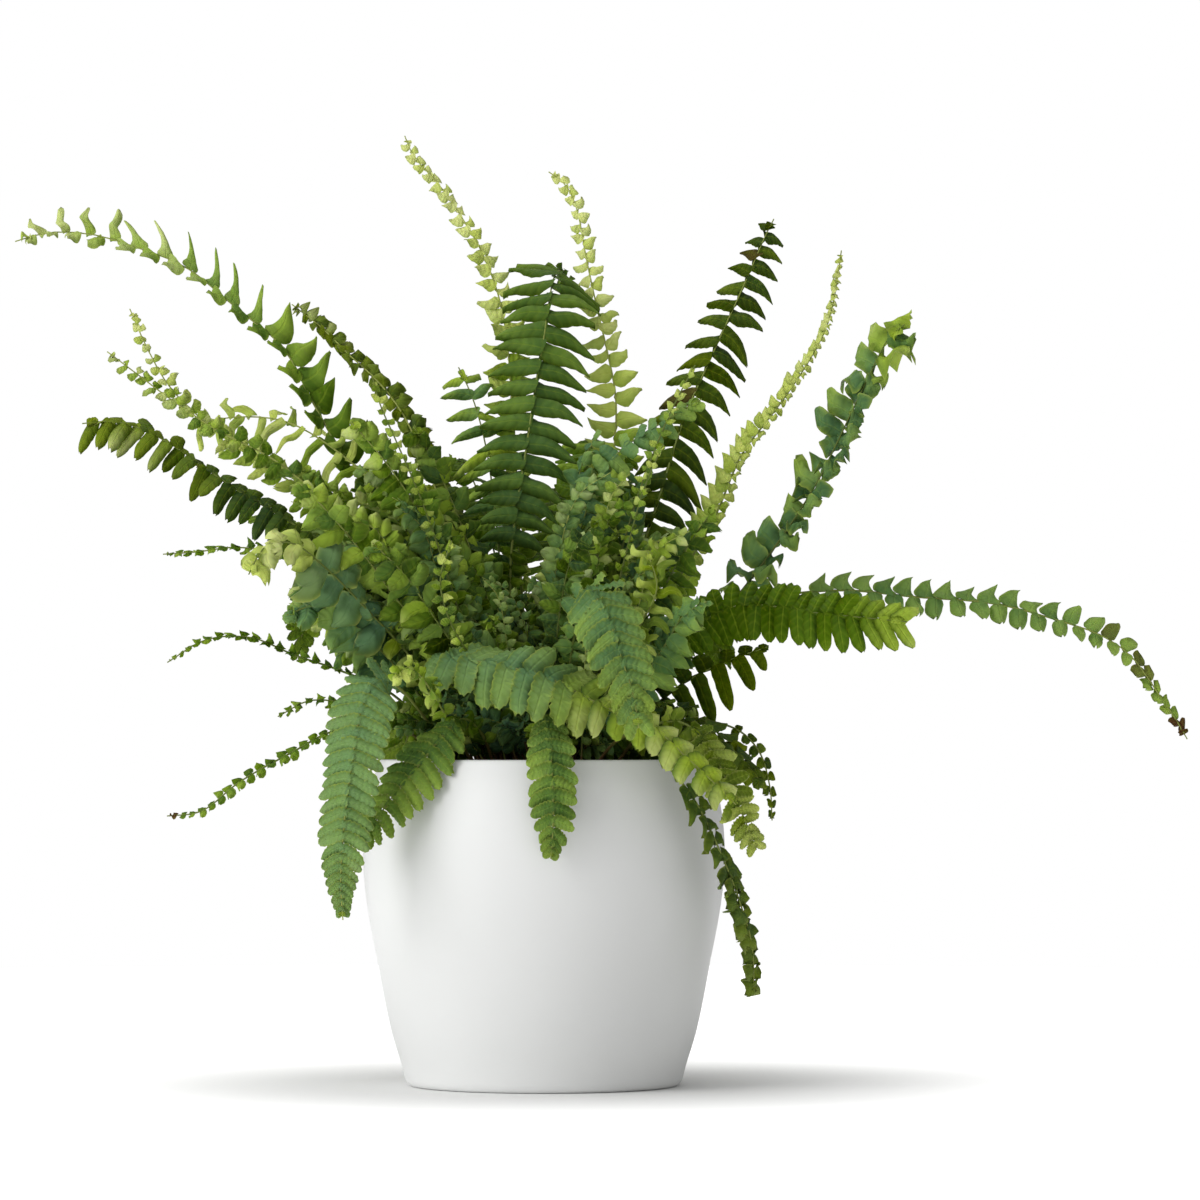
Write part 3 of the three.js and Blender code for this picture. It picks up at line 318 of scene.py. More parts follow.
# leaflet length along the blade where it isn't the usual course: places and shares
COURSES = {
    "front_sweep": ((0, 0.12, 0.4, 0.5, 0.6, 1), (0.66, 0.92, 1, 0.85, 0.54, 0.4)),
    "front_drop": ((0, 0.25, 0.65, 1), (0.85, 1, 0.88, 0.6)),
    "thin_right": ((0, 0.3, 0.6, 1), (1.5, 1.15, 0.75, 0.35)),
    "right_broad": ((0, 0.2, 0.9, 1), (0.75, 1, 1, 0.9)),
    "centre_upright": ((0, 0.2, 0.8, 0.84, 1), (0.7, 1, 1, 0.3, 0.15)),
    "dark_right": ((0, 0.2, 0.7, 1), (0.95, 1.1, 0.9, 0.5)),
    "left_drop": ((0, 0.12, 0.7, 1), (0.75, 1, 0.85, 0.28)),
    "left_reach": ((0, 0.3, 0.7, 0.9, 1), (0.62, 0.68, 0.66, 0.72, 0.66)),
    "left_arch": ((0, 0.1, 0.45, 0.8, 1), (0.9, 1, 1, 0.95, 0.55)),
    "right_arch": ((0, 0.6, 0.8, 1), (1, 1, 0.72, 0.42)),
    "right_drop": ((0, 0.25, 0.5, 1), (1, 0.95, 0.7, 0.55)),
    "left_crinkle": ((0, 0.5, 0.62, 1), (0.72, 0.85, 0.62, 0.55)),
    "left_curtain": ((0, 0.3, 0.8, 1), (1.3, 1.5, 1.3, 0.8)),
    "right_dark_low": ((0, 0.5, 0.8, 1), (0.9, 1, 0.7, 0.3)),
    "curled_right": ((0, 0.4, 0.85, 1), (0.8, 0.85, 1, 0.75)),
    "left_short": ((0, 0.4, 0.8, 1), (0.85, 0.8, 0.66, 0.45)),
    "right_row": ((0, 0.4, 1), (1, 1.1, 0.8)),
    "tall_left": ((0, 0.25, 0.45, 1), (1.5, 1.3, 0.95, 0.42)),
    "tall_mid": ((0, 0.2, 0.42, 1), (1.75, 1.55, 1, 0.42)),
    "right_cluster": ((0, 0.3, 0.7, 1), (0.62, 0.75, 0.7, 0.45)),
    "centre_inner": ((0, 0.3, 0.7, 1), (0.62, 0.72, 0.66, 0.4)),
    "young_left": ((0, 0.7, 1), (0.5, 0.6, 0.5)),
    "young_right": ((0, 0.7, 1), (0.45, 0.55, 0.5)),
    "young_right_low": ((0, 0.7, 1), (0.5, 0.55, 0.5)),
    "young_centre": ((0, 0.7, 1), (0.5, 0.6, 0.6)),
    "left_light": ((0, 0.3, 0.7, 1), (1, 0.9, 0.6, 0.35)),
    "left_fork": ((0, 0.3, 0.7, 1), (0.9, 0.8, 0.55, 0.35)),
    "right_bright": ((0, 1), (0.95, 0.95)),
    "left_blue": ((0, 0.5, 0.85, 1), (0.8, 1, 1.1, 0.9)),
    "young_front": ((0, 1), (1, 0.8)),
    "right_olive": ((0, 0.5, 0.85, 1), (0.9, 1.05, 0.8, 0.5)),
    **dict.fromkeys(("left_inner_a", "left_inner_c", "left_back"),
                    ((0, 0.3, 0.7, 1), (0.72, 0.86, 0.8, 0.5))),
    **dict.fromkeys(("left_inner_b", "left_inner_d"),
                    ((0, 0.3, 0.7, 1), (0.74, 0.9, 0.82, 0.5))),
}
# blades whose leaflets stand evenly and stay as broad to the end
EVEN = {"front_sweep", "curled_right"}
# how far the leaflets of such a blade, and of any other, turn forward at its tip, in degrees
EVEN_CLOSING = 10
CLOSING = 40
# the closest that leaflets stand, as a share of the usual distance, and steps in which it is found
CLOSEST = 0.62
BLADE_STEPS = 200
# tint along the blade where it doesn't grow paler evenly: places and tints
TINTS = {
    "front_sweep": ((0, 0.38, 0.52, 1), (0.78, 0.84, 1.12, 1.22)),
    "front_drop": ((0, 0.6, 1), (0.52, 0.62, 0.72)),
    "right_broad": ((0, 0.72, 0.88, 1), (0.1, 0.3, 0.8, 1.05)),
    "left_reach": ((0, 0.6, 0.85, 1), (0.32, 0.55, 1, 1.12)),
    "left_crinkle": ((0, 0.5, 0.6, 1), (0.35, 0.45, 1.15, 1.5)),
    "right_drop": ((0, 0.5, 0.8, 1), (0.45, 0.7, 0.85, 1.1)),
    "right_arch": ((0, 0.6, 0.85, 0.97, 1), (0.9, 0.88, 0.88, 1, 0.7)),
    "left_arch": ((0, 0.25, 0.5, 0.7, 1), (0.2, 0.34, 0.9, 1.25, 1.55)),
    "thin_right": ((0, 0.4, 1), (0.55, 1.05, 1.4)),
    "centre_upright": ((0, 0.6, 1), (0.45, 0.6, 0.75)),
    "left_drop": ((0, 0.6, 1), (0.96, 1, 0.95)),
    "tall_left": ((0, 0.25, 0.45, 1), (0.55, 0.85, 1.2, 1.6)),
    "tall_mid": ((0, 0.25, 0.45, 1), (0.5, 0.75, 1.2, 1.65)),
    "centre_drop": ((0, 1), (0.56, 0.8)),
    "left_slant": ((0, 1), (0.5, 0.85)),
}
# how far the green turns bluish along the blade: places and shares. The bluish green is partly
# the leaves' own colour and partly a painted waxy sheen
COOL = {
    "left_crinkle": ((0, 0.5, 0.58, 1), (1.5, 1.4, 0, 0)),
    "right_arch": ((0, 0.6, 1), (0.9, 0.8, 0.3)),
    "right_row": ((0, 1), (0.9, 0.7)),
    "centre_upright": ((0, 1), (0.5, 0.2)),
    "left_drop": ((0, 1), (1.5, 1.2)),
    "right_drop": ((0, 1), (0.2, 0.3)),
    "curled_right": ((0, 0.7, 1), (0.5, 0.6, 0)),
    "front_drop": ((0, 0.6, 1), (0.7, 0.7, 0.5)),
    "left_leaf_low": ((0, 1), (0.8, 0.9)),
    "right_lower_blue": ((0, 1), (0.5, 0.2)),
    "front_sweep": ((0, 0.38, 0.52, 1), (1.2, 1.1, 0.1, 0)),
    "left_arch": ((0, 0.35, 0.6, 1), (0, 0.1, 0.5, 0.2)),
    "centre_drop": ((0, 1), (0.6, 0.5)),
    "left_slant": ((0, 1), (0.5, 0.4)),
}
# cuts that change along a blade: up to which place, then cut, length and breadth on either side
CUT_CHANGES = {
    "left_arch": [(0.44, ("wing", 0.78, 1.75), ("hatchet", 0.46, 1.5)),
                  (0.8, ("blade", 0.74, 1), ("hatchet", 0.42, 1.4)),
                  (1, ("strap", 0.8, 0.8), ("cup", 0.55, 0.9))],
    "right_arch": [(0.6, ("scale", 0.7, 0.85), ("hatchet", 0.8, 1.15)),
                   (0.8, ("scale", 0.6, 0.7), ("scale", 0.9, 0.8)),
                   (1, ("cup", 0.55, 0.9), ("cup", 0.55, 0.9))],
    "curled_right": [(0.84, ("ruffled", 0.5, 0.8), ("ruffled", 0.9, 1)),
                     (1, ("ruffled", 0.85, 1), ("ruffled", 0.95, 1.1))],
    "thin_right": [(1, ("ovate", 0.45, 0.8), ("ovate", 1.1, 1))],
    "front_sweep": [(0.5, ("crinkled", 1, 1), ("crinkled", 1, 1)),
                    (1, ("tongue", 1.05, 0.92), ("tongue", 1.05, 0.92))],
    "left_short": [(1, ("cup", 1.45, 1.15), ("cup", 0.95, 1))],
    "left_crinkle": [(0.55, ("cup", 1.1, 1.1), ("cup", 1.1, 1.1)),
                     (1, ("cup", 0.9, 0.8), ("cup", 0.9, 0.8))],
    "right_drop": [(0.4, ("hatchet", 1, 1.3), ("hatchet", 1, 1.3)),
                   (1, ("cup", 1.3, 1.5), ("cup", 1.3, 1.5))],
}
# small leaflets on the lower stalks: from which share of the length, their own length, breadth and
# distance, the spans of their size, tint, lift, sweep and lean, how far they hang, and stalks
# without them
LOW_START = 0.16
LOW_LENGTH = 8.5
LOW_BREADTH = 6.6
LOW_PITCH = 7.0
LOW_SCALE = (0.7, 1.1)
LOW_TINT = (-0.25, 0.1)
LOW_ANGLES = ((-20, 30), (-10, 40), (-30, 30))
LOW_DROOP = 0.2
LOW_BARE = {"front_sweep", "left_drop", "left_low_wisp", "left_wisp", "right_drop", "right_bare"}
# share of the leaflets near the tip of a frond that have dried brown
DRY_TIPS = {"right_arch": 0.035, "left_low_wisp": 0.04}
# stretches of a blade where some leaflets have begun to dry: from, to, share of the leaflets
DRY_SPELLS = {"right_arch": (0.72, 0.87, 0.45), "dark_right": (0.3, 0.9, 0.06)}
HALF_DRY = 0.55
# where a blade ends and where its last leaflet stands, as shares of the length
BLADE_END = 0.97
TIP_PLACE = 0.992
# how far the two leaflets of a pair stand apart along the rib, and leaflets that stand by turns
PAIR_SHIFT = 0.06
TURN_SHIFT = 0.25
# how far leaflets vary where they are irregular: length, breadth and hang as shares, then sweep,
# lean and lift in degrees
SWAYS = (0.15, 0.13, 0.5, 24, 34, 26)
# how far their curl and tint run each way, and how much of that a neat blade and an irregular one
# have: least, then what is added. Then how far they turn bluish
CURLS = (-1, 0.6)
CURL_SHARE = (0.05, 0.26)
TINT_SPREAD = (-1.05, 0.95)
TINT_SHARE = (0.08, 0.36)
COOL_SPREAD = 0.45
# how high leaflets stand off a rib, in its radii: those that overlap its middle, and the others
STAND_OVER = 1.2
STAND_BESIDE = 0.6
# how far leaflets stay off the cover pot, the inside of its rim and the soil, and the turns in
# degrees that they try so that they do
CLEARANCE = 0.8
RIM_CLEARANCE = 6
SOIL_CLEARANCE = 1.0
BENDS = (0, 14, -14, 28, -28, 42, -42)

# small inner fronds, by rule: tone, how many, middle and spread of the place where their tips come,
# length and breadth of their leaflets, and tint
# the low tints of the growth at the crown and by the rim are partly painted shade, deepening the
# leaves' own dark green where the crown lies in shade
INNER_GROWTH = {
    "crown_low": ("deep", 36, (0, -8, 158), (54, 46, 12), 7, 5.6, 0.24),
    "crown_high": ("deep", 28, (4, -4, 206), (44, 34, 28), 7.6, 6, 0.3),
    "crown_back": ("mid", 14, (0, 40, 190), (52, 26, 26), 8.6, 6.4, 0.45),
    "crown_young": ("light", 10, (-16, -34, 212), (50, 22, 30), 5.6, 4.6, 0.55),
    "left_thicket": ("mid", 26, (-84, -22, 246), (44, 26, 38), 10.8, 8, 0.62),
    "left_fringe": ("blue", 12, (-92, -34, 214), (40, 22, 30), 12, 9, 0.62),
    "right_thicket": ("mid", 18, (46, -12, 236), (26, 22, 46), 8.6, 6.6, 0.55),
    "centre_high": ("mid", 7, (33, 10, 282), (13, 14, 26), 11.5, 8.6, 0.5),
    "rim_back": ("deep", 12, (16, 40, 168), (50, 16, 18), 7.6, 6, 0.25),
    "rim_left": ("deep", 14, (-54, -42, 170), (26, 14, 20), 7.6, 6, 0.35),
    "rim_right": ("deep", 14, (42, -30, 161), (28, 20, 17), 8.4, 6.6, 0.32),
}
# how far out their roots lie, and how little these keep below the tips, from 0 to 1
INNER_ROOTS = 36.0
INNER_SCATTER = 0.6
# two points between foot and tip, as shares of the way across and up, and the first one's rise
INNER_LOW = (0.22, 0.22, 0.45)
INNER_HIGH = (0.60, 0.60, 0.92)
INNER_RISE = (0, 0, 4)
# direction that their faces turn to, and its spread
INNER_FACE = (0, -1.0, 0.5)
INNER_FACE_SPREAD = (0.7, 0.4, 0.5)
# distance of their leaflets, where these begin and end as shares of the length, how far the two of
# a pair stand apart, and how far they hang
INNER_PITCH = 5.4
INNER_START = 0.22
INNER_END = 0.98
INNER_SHIFT = 0.2
INNER_DROOP = 0.15
# sweep of the leaflets and change of the tint, at the foot and on the way to the tip
INNER_SWEEP = (12, 20)
INNER_PALER = (-0.20, 0.40)
# how thick the ribs are beside a large frond's, how the tint varies from frond to frond, and the
# share of fronds that are bluish
INNER_RIB = 0.6
INNER_TINT_SPREAD = 0.55
COOL_FRONDS = 0.42
INNER_SEED = 100

# crumbs on the soil: how many, how far out they lie, their least and largest radius, how high
# their middles lie in radii, and how they are stretched
CRUMBS = 520
CRUMB_REACH = 56.0
CRUMB_LEAST = 0.6
CRUMB_LARGEST = 2.1
CRUMB_HEIGHTS = (-0.2, 0.4)
CRUMB_STRETCH = (0.55, 1.3)

# cuts of a leaflet: stations, teeth and their depth, forward bend, roll of the edges, depth of the
# middle groove, swellings between the veins, waves of the middle and of the edges, twist, pale
# margin, painted shade along the edge towards the frond's foot, where it lies under its neighbour,
# and how far it stands off the rib's middle
CUTS = {
    "crinkled": (16, 6, 0.08, 0.3, 0.3, 0.12, 0.09, 0.02, 0.08, 0.2, 1, 0.75, -1),
    "tongue": (12, 4, 0.025, 0.15, 0.26, 0.08, 0.03, 0.02, 0.06, 0.2, 0.1, 0.9, -0.9),
    "arched": (12, 5, 0.03, -0.6, 0.36, 0.05, 0.018, 0.05, 0.08, 0.25, 0.5, 0.9, -1),
    "sickle": (12, 5, 0.03, 0.6, 0.32, 0.06, 0.018, 0.05, 0.08, 0.25, 0.5, 0.7, -0.6),
    "blade": (11, 4, 0.03, 1.7, 0.24, 0.06, 0.015, 0.06, 0.08, 0.9, 0.5, 0.5, 0.2),
    "hatchet": (10, 3, 0.01, 0.45, 0.3, 0.08, 0.015, 0.04, 0.06, 0.4, 0.9, 0.5, -0.4),
    "wing": (12, 4, 0.015, 0.4, 0.3, 0.06, 0.015, 0.06, 0.1, 0.5, 0.3, 0.6, 0.1),
    "pointed": (10, 4, 0.025, 0.6, 0.34, 0.1, 0.015, 0.06, 0.08, 0.8, 0.6, 0.4, 0.3),
    "ovate": (10, 4, 0.025, 0.3, 0.46, 0.16, 0.02, 0.06, 0.12, 1, 0.8, 0.6, 0.3),
    "cup": (11, 3, 0.015, 0.25, 0.46, 0.06, 0.02, 0.07, 0.17, 0.55, 1, 0.75, 0),
    "ruffled": (11, 4, 0.035, 0.45, 0.42, 0.08, 0.03, 0.12, 0.3, 0.8, 1, 0.75, 0),
    "strap": (13, 3, 0.03, 0.5, 0.34, 0.08, 0.02, 0.34, 0.18, 1.6, 0.5, 0.4, 0.1),
    "scale": (10, 2, 0.01, 0.3, 0.38, 0.08, 0.015, 0.03, 0.08, 0.5, 0.7, 0.5, 0.1),
    "small": (6, 2, 0.02, 0.2, 0.44, 0.1, 0.015, 0.05, 0.1, 0.9, 0.8, 0.6, 0.2),
}
CUT_ORDER = sorted(CUTS)
# half of the breadth at these shares of the length, towards the frond's tip and towards its foot
EDGE_PLACES = (0, 0.07, 0.16, 0.32, 0.5, 0.68, 0.84, 0.95, 1)
EDGES = {
    "crinkled": ((0.62, 1, 1.1, 1.02, 1, 0.98, 0.86, 0.58, 0.24),
                 (0.6, 0.92, 1, 1, 0.99, 0.95, 0.8, 0.5, 0.2)),
    "tongue": ((0.7, 1.02, 1.08, 1, 0.97, 0.94, 0.82, 0.55, 0.22),
               (0.66, 0.92, 1, 1, 0.98, 0.92, 0.76, 0.46, 0.18)),
    "arched": ((1, 1.18, 1.12, 1.02, 0.96, 0.84, 0.62, 0.34, 0.1),
               (0.84, 0.98, 1, 0.95, 0.86, 0.7, 0.46, 0.22, 0.07)),
    "sickle": ((0.8, 1.14, 1.1, 0.92, 0.76, 0.6, 0.42, 0.24, 0.08),
               (0.55, 0.8, 0.94, 1, 0.96, 0.8, 0.56, 0.3, 0.08)),
    "blade": ((0.95, 1.34, 1.24, 0.8, 0.52, 0.38, 0.32, 0.28, 0.14),
              (0.85, 1.1, 1.06, 0.74, 0.5, 0.38, 0.32, 0.26, 0.14)),
    "hatchet": ((0.95, 1.2, 1.05, 0.66, 0.4, 0.24, 0.14, 0.08, 0.04),
                (0.8, 1, 1.06, 1.02, 0.9, 0.68, 0.42, 0.2, 0.05)),
    "wing": ((0.72, 1.02, 1.06, 0.82, 0.54, 0.32, 0.18, 0.09, 0.04),
             (0.7, 0.98, 1.1, 1.12, 1, 0.76, 0.46, 0.22, 0.05)),
    "pointed": ((0.5, 0.98, 1.16, 1, 0.76, 0.52, 0.3, 0.14, 0.05),
                (0.36, 0.7, 0.92, 0.94, 0.8, 0.58, 0.36, 0.17, 0.05)),
    "ovate": ((0.4, 0.8, 1.06, 1.08, 0.98, 0.78, 0.5, 0.24, 0.08),
              (0.36, 0.72, 0.98, 1.02, 0.92, 0.72, 0.46, 0.22, 0.08)),
    "cup": ((0.58, 0.86, 1.02, 1.12, 1.12, 1.02, 0.8, 0.54, 0.26),
            (0.56, 0.82, 0.98, 1.08, 1.08, 0.98, 0.76, 0.5, 0.24)),
    "ruffled": ((0.56, 0.84, 1, 1.12, 1.2, 1.22, 1.08, 0.7, 0.26),
                (0.54, 0.8, 0.94, 1, 0.96, 0.84, 0.6, 0.36, 0.16)),
    "strap": ((0.8, 1.08, 1.06, 0.94, 0.86, 0.84, 0.8, 0.6, 0.28),
              (0.7, 0.96, 0.98, 0.9, 0.84, 0.82, 0.76, 0.56, 0.26)),
    "small": ((0.44, 0.8, 1.02, 1.08, 1, 0.84, 0.6, 0.36, 0.16),
              (0.4, 0.74, 0.98, 1.04, 0.96, 0.8, 0.56, 0.32, 0.14)),
    "scale": ((0.6, 0.95, 1.08, 1.06, 1, 0.9, 0.68, 0.42, 0.2),
              (0.56, 0.88, 1, 1, 0.96, 0.84, 0.62, 0.38, 0.18)),
}
# leaflets made of each cut, places across their breadth, and thickness beside their length
VARIANTS = 5
ACROSS = (-1, -0.5, 0, 0.5, 1)
LEAF_THICKNESS = 0.055

# stalks: radius at the foot and at the tip in millimetres, points along and around
RIB_RADIUS = 0.92
RIB_TIP_RADIUS = 0.28
RIB_STATIONS = 40
RIB_SIDES = 7
# share of a frond's length over which its stalk is brown and scurfy
SCURFY_SHARE = 0.4

# tones of leaf: shaded, usual and young colour as screen values
TONES = {
    "deep": ((35, 54, 0), (74, 101, 5), (132, 159, 48)),
    "dark": ((32, 46, 0), (63, 81, 0), (116, 133, 24)),
    "mid": ((43, 67, 0), (88, 119, 14), (163, 189, 66)),
    "blue": ((50, 81, 24), (101, 136, 70), (168, 193, 58)),
    "light": ((80, 108, 8), (150, 178, 52), (208, 222, 112)),
    "olive": ((64, 84, 5), (118, 139, 24), (200, 216, 108)),
}


class Field:
    """What one output of a node gives. Sums, products and powers of fields add nodes."""

    def __init__(self, socket):
        self.socket = socket

    def also(self, output):
        """Another output of the same node."""
        return Field(self.socket.node.outputs[output])

    def math(self, operation, *others):
        inputs = enumerate((self, *others))
        return add_node(self.socket.id_data, "ShaderNodeMath", inputs, operation=operation)

    def __add__(self, other):
        return self.math("ADD", other)

    def __sub__(self, other):
        return self.math("SUBTRACT", other)

    def __mul__(self, other):
        return self.math("MULTIPLY", other)

    def __pow__(self, other):
        return self.math("POWER", other)


def feed(node, inputs):
    """Links fields to the inputs of a node, or sets them where they are plain values."""
    for key, value in dict(inputs).items():
        if isinstance(value, Field):
            node.id_data.links.new(value.socket, node.inputs[key])
        else:
            node.inputs[key].default_value = value


def add_node(tree, kind, inputs=(), output=0, **settings):
    """One output of a new node, which has its settings and its inputs, by name or number."""
    node = tree.nodes.new(kind)
    for key, value in settings.items():
        setattr(node, key, value)
    feed(node, inputs)
    return Field(node.outputs[output])


def for_camera(tree, seen, cast):
    """The first value where the camera looks straight at something, else the second."""
    straight = add_node(tree, "ShaderNodeLightPath", output="Is Camera Ray")
    return add_node(tree, "ShaderNodeMix", {"Factor": straight, "A": cast, "B": seen})


def colour(given):
    """A colour given as screen values from 0 to 255, as Blender's linear colour."""
    if isinstance(given, Field):
        return given
    shares = [c / 255 for c in given]
    return (*(c / 12.92 if c <= 0.04045 else ((c + 0.055) / 1.055) ** 2.4 for c in shares), 1.0)


class Finish:
    """A new material, with short ways to add nodes to it. Its colours are screen values."""

    def __init__(self, name):
        self.material = bpy.data.materials.new(name)
        self.material.use_nodes = True
        self.tree = self.material.node_tree
        self.place = self.node("TexCoord", output="Object")

    def node(self, kind, inputs=(), output=0, **settings):
        return add_node(self.tree, f"ShaderNode{kind}", inputs, output, **settings)

    def value(self, name):
        """A value that the mesh holds for each of its points."""
        return self.node("Attribute", output="Fac", attribute_name=name)

    def noise(self, scale, detail=3.0, rough=0.55):
        inputs = {"Vector": self.place, "Scale": scale, "Detail": detail, "Roughness": rough}
        return self.node("TexNoise", inputs, "Fac")

    def ease(self, value, low, high):
        """0 at low, 1 at high, smooth between."""
        inputs = {"Value": value, "From Min": low, "From Max": high}
        return self.node("MapRange", inputs, interpolation_type="SMOOTHSTEP")

    def mixed(self, share, first, second):
        inputs = {"Factor": share, "A": colour(first), "B": colour(second)}
        return self.node("Mix", inputs, "Result", data_type="RGBA")

    def ramp(self, value, *stops):
        """A colour that runs through three stops, each a place and a colour."""
        blend = self.node("ValToRGB", {"Fac": value})
        elements = blend.socket.node.color_ramp.elements
        elements.new(0.5)
        for element, (place, paint) in zip(elements, stops):
            element.position = place
            element.color = colour(paint)
        return blend

    def done(self, looks, height=None, strength=0.0, distance=0.0):
        """The material, with what its shader is given and with its relief."""
        shader = self.tree.nodes["Principled BSDF"]
        feed(shader, looks)
        if height:
            relief = {"Height": height, "Strength": strength, "Distance": distance}
            feed(shader, {"Normal": self.node("Bump", relief)})
        return self.material


def leaf_finish(tone):
    """Living leaf: mottled green, paler veins, margins and underside, brown where it has dried.
    Painted shade darkens it towards the rib and along the edge under the next leaflet, and its
    bluish green is partly a painted waxy sheen.
    """
    leaf = Finish(f"leaf_{tone}")
    shaded, usual, young = TONES[tone]
    blotch, grain = leaf.noise(70.0), leaf.noise(900.0, 2.0)
    # the tint grows along each leaflet, so it is darker at its foot: painted shade where the
    # leaflets crowd at the rib
    tint = blotch * 0.45 + leaf.value("tint") + leaf.value("out") * 0.34 - 0.38
    green = leaf.ramp(tint, (0.0, shaded), (0.5, usual), (1.0, young))
    green = leaf.mixed(leaf.ease(tint, 1.05, 1.6), green, leaf.mixed(0.7, young, (232, 239, 158)))
    # bluish green: partly the leaves' own colour and partly a painted waxy sheen
    cool = leaf.value("cool") * 0.50
    green = leaf.mixed(cool, green, (94, 136, 106))
    # painted shade along the edge that lies under the next leaflet
    green = leaf.mixed(leaf.value("tuck"), green, leaf.mixed(0.15, shaded, usual))

    across = leaf.value("across").math("ABSOLUTE")
    midrib = leaf.ease(across, 0.14, 0.03)
    wave = (leaf.value("vein") * (2 * math.pi)).math("COSINE") * 0.5 + 0.5
    veins = wave**4.0 * (across * -0.6 + 1.0)
    lines = (veins * 0.08 + midrib * 0.13) * (cool * -1.4 + 1.0)
    green = leaf.mixed(lines, green, leaf.mixed(0.35, young, (206, 214, 48)))
    margin = leaf.value("edge") ** 3.5 * 0.50
    green = leaf.mixed(margin, green, leaf.mixed(0.35, young, (206, 214, 126)))
    green = leaf.mixed(leaf.value("under") * 0.16, green, (142, 160, 56))
    dry = leaf.value("dry") * (grain * 0.8 + 0.6)
    looks = {
        "Base Color": leaf.mixed(dry, green, (84, 52, 34)), "Roughness": blotch * 0.20 + 0.36,
        "Specular IOR Level": 0.10, "Specular Tint": (0.85, 0.95, 0.10, 1.0),
        "Subsurface Weight": 0.10, "Subsurface Radius": (0.6, 1.0, 0.2),
        "Subsurface Scale": 0.002,
    }
    return leaf.done(looks, wave * -0.8 + grain * 0.12 + midrib * -0.8, 0.55, 0.0005)


def rib_finish():
    """Frond stalks: brown and scurfy by the soil, tan to yellow green above."""
    stalk = Finish("frond_stalk")
    scurf, streak = stalk.noise(800.0, 4.0, 0.7), stalk.noise(90.0)
    green = stalk.ramp(stalk.value("tint"), (0.0, (42, 48, 12)), (0.5, (98, 118, 44)),
                       (1.0, (172, 184, 92)))
    green = stalk.mixed(streak * 0.22, green, (124, 104, 52))
    foot = stalk.ease(scurf * 0.4 + stalk.value("foot"), 0.5, 1.1)
    brown = stalk.mixed(scurf, (58, 38, 22), (134, 96, 58))
    looks = {"Base Color": stalk.mixed(foot, green, brown), "Roughness": 0.55,
             "Specular IOR Level": 0.35}
    return stalk.done(looks, scurf, 0.4, 0.0003)


def cover_pot_finish():
    """Satin white moulded plastic with a faint grain and a little dust below the rim."""
    pot = Finish("cover_pot_white")
    cloud = pot.noise(14.0, 4.0)
    height = pot.node("SeparateXYZ", {"Vector": pot.place}, "Z")
    dust = pot.ease(height, DUST_FOOT * MM, POT_TOP * MM)
    dust = dust * pot.ease(pot.noise(260.0, 5.0, 0.7), 0.62, 0.78) * 0.12
    white = pot.mixed(cloud, (238, 239, 238), (245, 246, 245))
    looks = {"Base Color": pot.mixed(dust, white, (176, 166, 146)),
             "Roughness": cloud * 0.10 + 0.36, "Specular IOR Level": 0.42}
    return pot.done(looks, pot.noise(2600.0, 2.0), 0.06, 0.0002)


def grow_pot_finish():
    """Thin black nursery plastic, dulled by dried potting mix."""
    plastic = Finish("grow_pot_black")
    smear = plastic.noise(55.0, 5.0, 0.6)
    dark = plastic.mixed(plastic.ease(smear, 0.48, 0.75), (26, 25, 24), (74, 66, 56))
    looks = {"Base Color": dark, "Roughness": smear * 0.4 + 0.3}
    return plastic.done(looks, plastic.noise(1400.0), 0.15, 0.0003)


def soil_finish():
    """Dark moist peat with paler fibres and specks."""
    peat = Finish("potting_soil")
    lump, speck = peat.noise(240.0, 6.0, 0.65), peat.noise(1100.0, 3.0, 0.6)
    brown = peat.ramp(lump, (0.25, (22, 15, 10)), (0.55, (52, 37, 25)), (0.8, (92, 68, 46)))
    brown = peat.mixed(peat.ease(speck, 0.66, 0.74) * 0.6, brown, (150, 124, 90))
    looks = {"Base Color": brown, "Roughness": lump * -0.2 + 0.95, "Specular IOR Level": 0.25}
    return peat.done(looks, speck * 0.4 + lump, 0.8, 0.0015)


def floor_finish():
    """Pale paper that runs out into the white backdrop."""
    paper = Finish("floor_paper")
    distance = paper.node("VectorMath", {0: paper.place}, "Value", operation="LENGTH")
    seen, cast = (paper.ease(distance, *reach) * most for *reach, most in (FLOOR_FADE, FLOOR_GLOW))
    return paper.done({
        "Base Color": paper.mixed(paper.noise(3.0), (246, 246, 245), (250, 250, 249)),
        "Roughness": 0.9, "Emission Color": WHITE,
        "Emission Strength": for_camera(paper.tree, seen, cast),
    })


def layer(mesh, name, values, kind="FLOAT"):
    """A value for each point of a mesh, or for its last points while the others stay at 0."""
    width = {"FLOAT": 1, "FLOAT_VECTOR": 3, "QUATERNION": 4}[kind]
    values = np.array(values, np.float32).reshape(-1, width)
    data = np.zeros((len(mesh.vertices), width), np.float32)
    data[len(data) - len(values):] = values
    field = "vector" if kind == "FLOAT_VECTOR" else "value"
    mesh.attributes.new(name, kind, "POINT").data.foreach_set(field, data.ravel())


def new_object(name, data):
    made = bpy.data.objects.new(name, data)
    bpy.context.scene.collection.objects.link(made)
    return made


def new_mesh(name, vertices, edges=(), faces=()):
    """A mesh with smooth faces."""
    mesh = bpy.data.meshes.new(name)
    mesh.from_pydata(vertices, edges, faces)
    mesh.polygons.foreach_set("use_smooth", [True] * len(mesh.polygons))
    return mesh


def circle(count):
    """Directions spread evenly round the z axis."""
    return [(math.cos(a), math.sin(a)) for a in np.arange(count) * 2 * math.pi / count]


